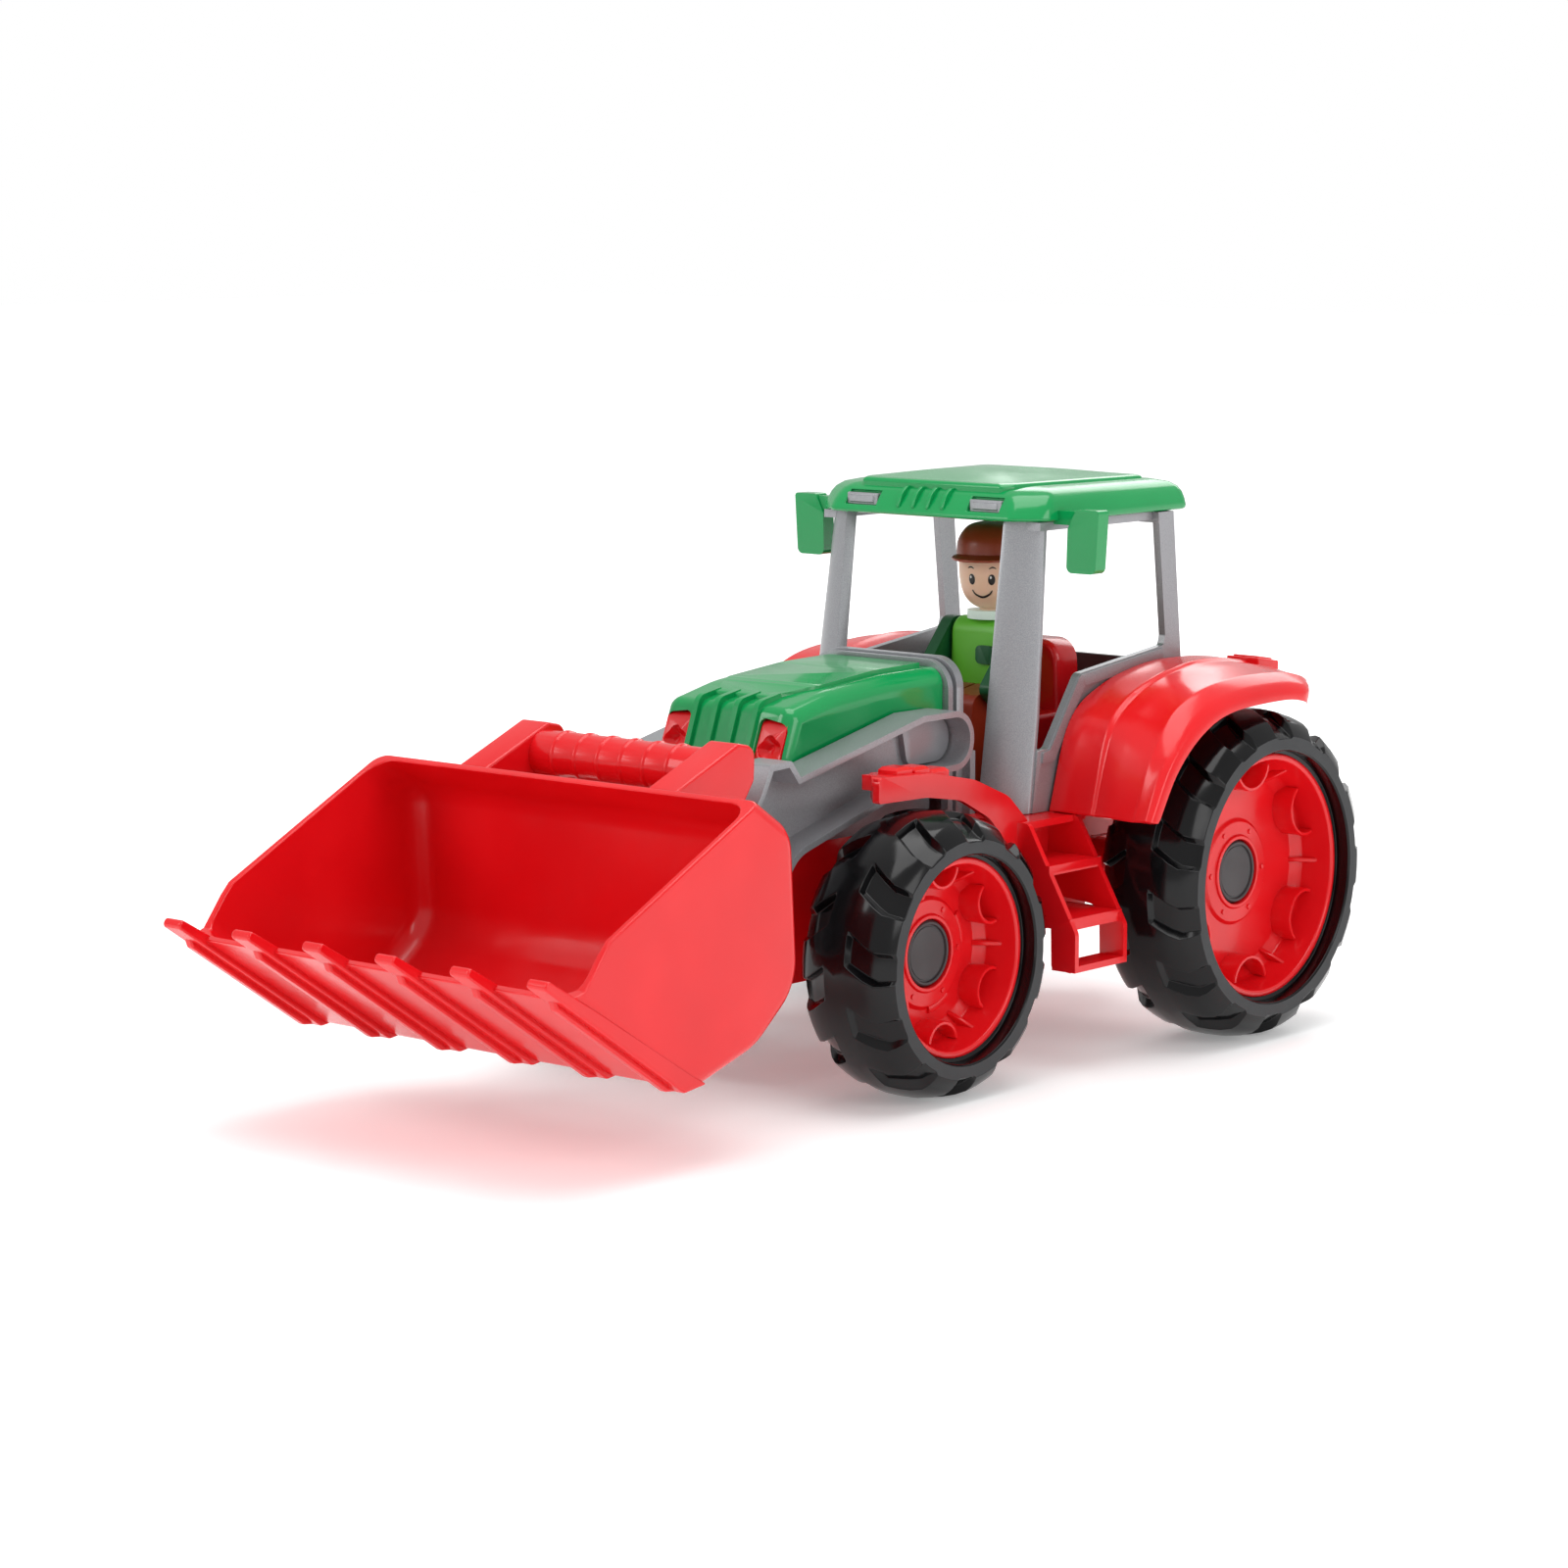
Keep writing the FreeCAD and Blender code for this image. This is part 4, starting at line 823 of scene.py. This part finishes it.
# %% Fender sizes
FENDER_IN, FENDER_FOOT = 44.6, 72.4
CROWN_RISE, TAIL_DROP = 0.9, 0.9
crown_lines = [
    (44.6, [(67.0, 72.4), (76.4, 98.0), (93.0, 108.2), (118.0, 113.0), (140.0, 112.0), (157.0, 108.0)]),
    (60.0, [(67.2, 72.4), (76.4, 98.4), (92.7, 108.6), (118.0, 113.4), (140.0, 112.2), (158.4, 107.8)]),
    (78.0, [(64.8, 72.4), (72.4, 89.8), (84.6, 103.0), (104.0, 109.2), (136.0, 109.8), (155.6, 106.2)]),
    (85.0, [(63.0, 73.4), (73.6, 89.2), (87.4, 100.0), (104.0, 105.4), (132.0, 106.6), (147.6, 104.2)])]
axle_y, axle_z = 125.0, 50.0
# The section: x, and how far the point stands out from the crown.
across = [
    (44.6, 0), (52, 0), (58.6, 0), (59.6, 0.55), (60.4, 0.55), (61.6, -0.25), (69, -0.1), (76.4, 0.0),
    (77.6, 0.5), (78.4, 0.5), (79.8, -0.2), (82.6, -0.1), (84.4, -0.5), (84.9, -1.4), (84.9, -4.2),
    (83.2, -4.2), (83.0, -2.4), (70, -2.4), (52, -2.4), (44.6, -2.4)]
print("fender section has", len(across), "points")

# %% A fender


def fender_mesh():
    """One rear fender with its inner cheek and tail lamp."""
    stations = 44
    curves = [(x, smooth_curve(points, stations)) for x, points in crown_lines]
    loops = []
    for k in range(stations + 1):
        loop = []
        tail = max(0.0, (k - 0.9 * stations) / (0.1 * stations))
        for x, lift in across:
            i = max(j for j in range(3) if curves[j][0] <= x + 1e-6)
            (xa, ca), (xb, cb) = curves[i], curves[i + 1]
            t = (x - xa) / (xb - xa)
            spot = ca[k].lerp(cb[k], t)
            bulge = CROWN_RISE * 4 * t * (1 - t) * (1.0 if xb - xa > 6 else 0.4)
            out = Vector((spot.x - axle_y, spot.y - axle_z)).normalized()
            spot = spot + out * (lift + bulge - TAIL_DROP * tail ** 3)
            spot.y = max(spot.y, FENDER_FOOT)
            loop.append((FENDER_IN + (x - FENDER_IN) * (1 - 0.05 * tail ** 3), spot.x, spot.y))
        loops.append(loop)
    bm = add_tube(bmesh.new(), loops)
    inner = curves[0][1]
    cheek = [(p.x, p.y - 0.8) for p in inner[::4]] + [(153, 96), (146, 72.6)]
    add_prism(bm, "x", FENDER_IN, 46.4, cheek)
    lamp_low, lamp_high = 146, 157
    for z, grow in ((112.9, 0.0), (113.5, -1.4)):
        foot = [(53 - grow, lamp_low - grow), (65 + grow, lamp_low - grow), (65 + grow, lamp_high + grow),
                (53 - grow, lamp_high + grow)]
        add_tube(bm, [[(x, y, 107.6 - (y - lamp_low) * 0.1) for x, y in foot],
                      [(x, y, z - (y - lamp_low) * 0.16) for x, y in foot]])
    return bm


for hand in ("left", "right"):
    bm = fender_mesh()
    if hand == "right":
        mirror_copy(bm)
    shell = make_piece(f"rear_fender_{hand}_shell", bm, [red_plastic], "tractor", (f"rear_fender_{hand}",), 28)
    add_bevel(shell, 0.5, 3, 30)
print("fender", [round(v * 1000, 1) for v in shell.dimensions])

# %% [markdown]
# ## Bucket
#
# The scoop is a thin shell whose corners are round inside and out. A solid with the outer shape has its
# round corners made with a bevel along the curved edge of each end; a second, slightly smaller solid is
# taken out of it with a boolean. A thickened sheet would keep its corners the same inside and out, and the
# real ones are wider inside. Six teeth, each with a keel below it, stand in a row along the lip, and two
# ears behind the scoop take the tilt pins.

# %% The scoop
sheet, bucket_half = 2.2, 72.0
outer_corner, inner_corner = 4.0, 6.5
back_path = rounded_profile([
    (-94.5, 96.0), (-80.2, 86.5, 11), (-77.6, 44, 17), (-95, 29.6, 22), (-121, 21.6, 10), (-168.0, 52.8)], 9)


def inset_path(path, depth):
    """An open path of (y, z) points moved towards the inside of the scoop."""
    moved = []
    for k, point in enumerate(path):
        before, after = path[max(k - 1, 0)], path[min(k + 1, len(path) - 1)]
        along = Vector((after[0] - before[0], after[1] - before[1])).normalized()
        moved.append((point[0] + along.y * depth, point[1] - along.x * depth))
    return moved


def scoop_solid(path, closing, half, corner):
    """A prism of the path whose end edges are rounded along the path only."""
    bm = bmesh.new()
    outline = path + closing
    left, right = ([bm.verts.new((x * MM, y * MM, z * MM)) for y, z in outline] for x in (half, -half))
    n = len(outline)
    for k in range(n):
        bm.faces.new((left[k], left[(k + 1) % n], right[(k + 1) % n], right[k]))
    bm.faces.new(list(reversed(left)))
    bm.faces.new(right)
    bmesh.ops.recalc_face_normals(bm, faces=bm.faces)
    ends = [bm.edges.get((side[k], side[k + 1])) for side in (left, right) for k in range(len(path) - 1)]
    bmesh.ops.bevel(bm, geom=ends, offset=corner * MM, segments=6, affect="EDGES", profile=0.5)
    return bm


outer = scoop_solid(back_path, [(-162.5, 54.8), (-156.0, 63.2), (-153.0, 66.4)], bucket_half, outer_corner)
hollow_path = inset_path(back_path, sheet)
for end, inner_end, reach in ((0, 1, 48.0), (-1, -2, 55.0)):
    tip, root = Vector(hollow_path[end]), Vector(hollow_path[inner_end])
    hollow_path[end] = tuple(tip + (tip - root).normalized() * reach)
hollow = scoop_solid(hollow_path, [(-200, 135)], bucket_half - sheet, inner_corner)
scoop_bm = cut_away(outer, [hollow])
print("scoop holds", round(scoop_bm.calc_volume() * 1e9), "cubic mm of plastic")

# %% Teeth, ears and the finished bucket
tooth_half = 3.5
tooth_pitch = 2 * (bucket_half - tooth_half) / 5
tooth_tip, tooth_heel = Vector((-176.5, 58.6)), Vector((-121, 21.6))
run = (tooth_tip - tooth_heel).normalized()
out = Vector((-run.y, run.x))


def under(y, z, d):
    """A point below the scoop's floor by d."""
    return (y + out.x * d, z + out.y * d)


tooth_bm = bmesh.new()
add_prism(tooth_bm, "x", -tooth_half, tooth_half, [
    (*under(-176.5, 58.6, -1.2), 1.1), (*under(-176.5, 58.6, 1.5), 1.2), (*under(-124, 23.6, 1.6), 2.0),
    (-116, 23.4), (-157.0, 48.6)])
add_prism(tooth_bm, "x", -2.2, 0.6, [
    under(-171, 54.9, 0.5), (*under(-168, 52.9, 3.0), 1.5), (*under(-127, 25.6, 3.2), 2),
    (-119.5, 21.9, 1.2), (-114, 24.5)])
take_in(scoop_bm, row_of(tooth_bm, 6, (-bucket_half + tooth_half, 0, 0), (tooth_pitch, 0, 0), red_plastic))
for side in (-1, 1):
    low, high = sorted((side * 19.8, side * 25.2))
    add_prism(scoop_bm, "x", low, high, [(-79.4, 72.0), (-65.0, 60.0, 6), (-61.0, 46.0, 6.4), (-79.4, 45.0)])
bucket_piece = make_piece("bucket_scoop", scoop_bm, [red_plastic], "bucket", ("bucket",), crease=32)
add_bevel(bucket_piece, 0.7, 4, 36)
print("bucket", [round(v * 1000, 1) for v in bucket_piece.dimensions])

# %% [markdown]
# ## Roof
#
# The roof is a shallow tray upside down: a soft-edged slab with a slightly domed panel standing on it. The
# slab is a stack of plan outlines, each drawn in a little from the one below, so its edge is as round as the
# stack says. The two lamp windows are cut out of its front with a boolean, and the row tree places the four
# flutes between them.

# %% The roof slab
ROOF_HALF, ROOF_MIDDLE, ROOF_REACH = 44.2, 100, 40
roof_plan = [(-34.0, 60.4, 5), (34.0, 60.4, 5), (43.2, 67.6, 7), (44.2, 139.6, 5), (-44.2, 139.6, 5),
             (-43.2, 67.6, 7)]


def plan_ring(inset, z, front=0.0):
    """The roof's outline drawn in towards the middle by inset, and by a further amount at the front."""
    ring = []
    for x, y in rounded_profile(roof_plan, 6):
        fade = max(0.0, min(1.0, (75 - y) / 14))
        along = ROOF_MIDDLE + (y - ROOF_MIDDLE) * (1 - inset / ROOF_REACH) + front * fade
        ring.append((x * (1 - inset / ROOF_HALF), along, z))
    return ring


inside = [(14.0, 165.4, 1.0), (6.0, 164.6, 2.4), (3.4, 162.4, 2.0), (2.4, 158.0, 0)]
outside = [(0.9, 158.0, 0), (0.2, 158.3, 0), (0.0, 159.0, 0.1), (0.4, 161.4, 1.0), (1.0, 163.4, 1.9),
           (2.0, 165.0, 2.4), (4.0, 166.4, 2.6), (8.0, 167.3, 2.4), (16.0, 167.8, 1.2)]
slab = add_tube(bmesh.new(), [plan_ring(*ring) for ring in inside + outside])
windows = []
for side in (-1, 1):
    low, high = sorted((side * 17.4, side * 29.4))
    windows.append(add_tube(bmesh.new(), [
        [(low, y, 160.4), (high, y, 160.4), (high, y, 164.6), (low, y, 164.6)] for y in (56, 65.2)]))
roof_bm = cut_away(slab, windows)
print("roof slab has", len(roof_bm.faces), "faces")

# %% The domed panel
PANEL_MIDDLE, PANEL_TOP = 98, 168.4
panel_plan = [(-26.5, 66.2, 1.5), (26.5, 66.2, 1.5), (29.0, 70.0, 2), (33.4, 129.6, 2), (-33.4, 129.6, 2),
              (-29.0, 70.0, 2)]


def panel_height(x, y):
    """The panel's smooth crown, nearly flat at its edges."""
    u = x / (29.0 + 4.4 * (y - 70.0) / 59.6)
    v = (y - PANEL_MIDDLE) / 32.0
    return PANEL_TOP + 2.8 * max(0.0, 1 - u * u) ** 0.8 * max(0.0, 1 - v * v) ** 0.8


def panel_ring(scale):
    """The panel's outline drawn in to a scale, as (x, y) points."""
    return [(x * scale, PANEL_MIDDLE + (y - PANEL_MIDDLE) * scale) for x, y in rounded_profile(panel_plan, 4)]


panel_sides = [[(x, y, PANEL_TOP - drop) for x, y in panel_ring(scale)]
               for scale, drop in ((1.0, 3.4), (1.0, 0.9), (0.985, 0.15))]
panel_crown = [[(x, y, panel_height(x, y)) for x, y in panel_ring(scale)]
               for scale in (0.955, 0.94, 0.9, 0.84, 0.76, 0.66, 0.54, 0.4, 0.26, 0.12)]
add_tube(roof_bm, panel_sides + panel_crown)
print("panel rises to", round(panel_height(0, PANEL_MIDDLE), 1))

# %% Flutes and the finished roof
flute_half, flute_front, flute_back = 0.5, 60.6, 63.6
flute_levels = ((160.2, 0.5, 0.0), (161.0, 0.1, 0.1), (163.6, 1.1, 0.2), (165.2, 2.4, 0.2), (166.6, 4.6, 0.1))
flute_loops = []
for z, back, wider in flute_levels:
    half = flute_half + wider
    flute_loops.append([(-half, flute_front + back, z), (half, flute_front + back, z),
                        (half, flute_back + back, z), (-half, flute_back + back, z)])
take_in(roof_bm, row_of(add_tube(bmesh.new(), flute_loops), 4, (-8.4, 0, 0), (5.6, 0, 0), green_plastic))
roof_piece = make_piece("roof_shell", roof_bm, [green_plastic], "tractor", ("roof",), 30)
add_bevel(roof_piece, 0.35, 3, 30)
print("roof", [round(v * 1000, 1) for v in roof_piece.dimensions])

# %% [markdown]
# ## The driver's head
#
# A simple peg-shaped figure has an egg head, with painted eyes, brows and a smile, and a small pale dot high in
# each eye that is a painted highlight. A painted picture would need its own image, so the marks are thin raised
# pads that follow the curve of the head and keep their shape from every side. The head looks a little to the toy's
# left.

# %% The head as a surface
HEAD_Y, HEAD_TURN, FACE_RADIUS = 96.0, math.radians(20), 9.3
head_profile = smooth_curve([
    (0.0, 127.9), (4.6, 128.4), (8.0, 131.6), (9.4, 136.0), (9.8, 140.4), (9.9, 144.2)], 20)


def head_radius(z):
    """The head's radius at a height, both in millimetres."""
    for a, b in zip(head_profile, head_profile[1:]):
        if a.y <= z <= b.y:
            return a.x + (b.x - a.x) * (z - a.y) / (b.y - a.y)
    return head_profile[-1].x


def round_ring(radius, z, count=48):
    """A level ring of points about the driver's neck."""
    turns = [2 * math.pi * k / count for k in range(count)]
    return [(radius * math.sin(a), HEAD_Y - radius * math.cos(a), z) for a in turns]


def on_head(angle, z, lift):
    """A point lifted off the head's skin; angle 0 looks straight ahead."""
    turn = HEAD_TURN + angle
    r = head_radius(z) + lift
    return (r * math.sin(turn), HEAD_Y - r * math.cos(turn), z)


print("head radius at the eyes", round(head_radius(137.3), 2))

# %% Painted marks


def painted_oval(bm, angle, z, half_wide, half_high, lift, material_index):
    """A thin pad in the shape of an oval on the head."""
    turns = [2 * math.pi * k / 28 for k in range(28)]
    loops = []
    for scale, height in ((1.0, -0.3), (1.0, lift * 0.6), (0.9, lift), (0.45, lift)):
        loops.append([on_head(angle + scale * half_wide * math.cos(t) / FACE_RADIUS,
                              z + scale * half_high * math.sin(t), height) for t in turns])
    add_tube(bm, loops, material_index)


def painted_stroke(bm, marks, half_wide, lift, material_index):
    """A thin pad that follows (angle, z) marks, with tapered ends."""
    steps = 16
    path = smooth_curve(marks, steps)
    section = ((-1, -0.3), (-1, lift * 0.6), (-0.5, lift), (0.5, lift), (1, lift * 0.6), (1, -0.3))
    loops = []
    for k, mark in enumerate(path):
        ahead, behind = path[min(k + 1, steps)], path[max(k - 1, 0)]
        along = Vector(((ahead.x - behind.x) * FACE_RADIUS, ahead.y - behind.y)).normalized()
        wide = half_wide * (0.45 + 0.55 * math.sin(math.pi * k / steps))
        side = Vector((-along.y, along.x)) * wide
        loops.append([on_head(mark.x + s * side.x / FACE_RADIUS, mark.y + s * side.y, h) for s, h in section])
    add_tube(bm, loops, material_index)


# %% Head and face
eye_black = moulded_plastic("eye_black", (0.012, 0.008, 0.007), gloss=(0.3, 0.4), coat=0.0)
# A near-white finish for a painted highlight: the glint of light on each eye, drawn in as colour.
painted_eye_highlight = moulded_plastic("painted_eye_highlight", (0.85, 0.83, 0.80), gloss=(0.3, 0.4), coat=0.0, drift=0.01)
head_bm = bmesh.new()
add_tube(head_bm, [round_ring(p.x, p.y) for p in head_profile[1:]])
add_tube(head_bm, [round_ring(3.4, z, 24) for z in (127.0, 129.0)])
DARK, PAINTED_HIGHLIGHT = 1, 2
for side in (-1, 1):
    painted_oval(head_bm, side * 0.335, 137.3, 1.05, 1.65, 0.12, DARK)
    # A small near-white pad high in each eye is a painted highlight.
    painted_oval(head_bm, side * 0.335 - 0.03, 138.0, 0.3, 0.42, 0.2, PAINTED_HIGHLIGHT)
    painted_stroke(head_bm, [(side * 0.25, 140.6), (side * 0.36, 141.1), (side * 0.47, 140.7)], 0.22, 0.12, DARK)
smile = [(-0.36, 134.0), (-0.26, 132.7), (0.0, 131.8), (0.26, 132.7), (0.36, 134.0)]
painted_stroke(head_bm, smile, 0.36, 0.12, DARK)
head_piece = make_piece("driver_head_painted", head_bm, [skin_plastic, eye_black, painted_eye_highlight], "driver_head",
                        ("driver_head",), 40)
print("head", [round(v * 1000, 1) for v in head_piece.dimensions])

# %% [markdown]
# ## The driver's cap
#
# The cap is a dome with a short curved peak, both tubes: the dome is a stack of rings, and the peak is a
# small section carried round the front, longest in the middle. It turns with the head.

# %% Cap
cap_bm = bmesh.new()
dome = smooth_curve([(10.5, 143.6), (10.6, 145.4), (9.9, 149.4), (7.2, 153.0), (3.2, 154.4), (0.6, 154.5)], 18)
add_tube(cap_bm, [round_ring(p.x, p.y) for p in dome])
peak_loops = []
for k in range(17):
    t = math.radians(-62 + 124 * k / 16)
    reach = 4.6 * math.cos(t * 1.35) ** 0.8 if abs(t * 1.35) < math.pi / 2 else 0.0
    section = ((9.0, 143.7), (10.8 + reach, 143.4 - 0.12 * reach), (10.9 + reach, 144.2 - 0.12 * reach),
               (9.0, 145.2))
    turn = t + HEAD_TURN
    peak_loops.append([(r * math.sin(turn), HEAD_Y - r * math.cos(turn), z) for r, z in section])
add_tube(cap_bm, peak_loops)
cap_piece = make_piece("driver_cap_moulded", cap_bm, [cap_plastic], "driver_head", ("driver_cap",), 35)
add_bevel(cap_piece, 0.25, 2, 35)
print("cap", [round(v * 1000, 1) for v in cap_piece.dimensions])
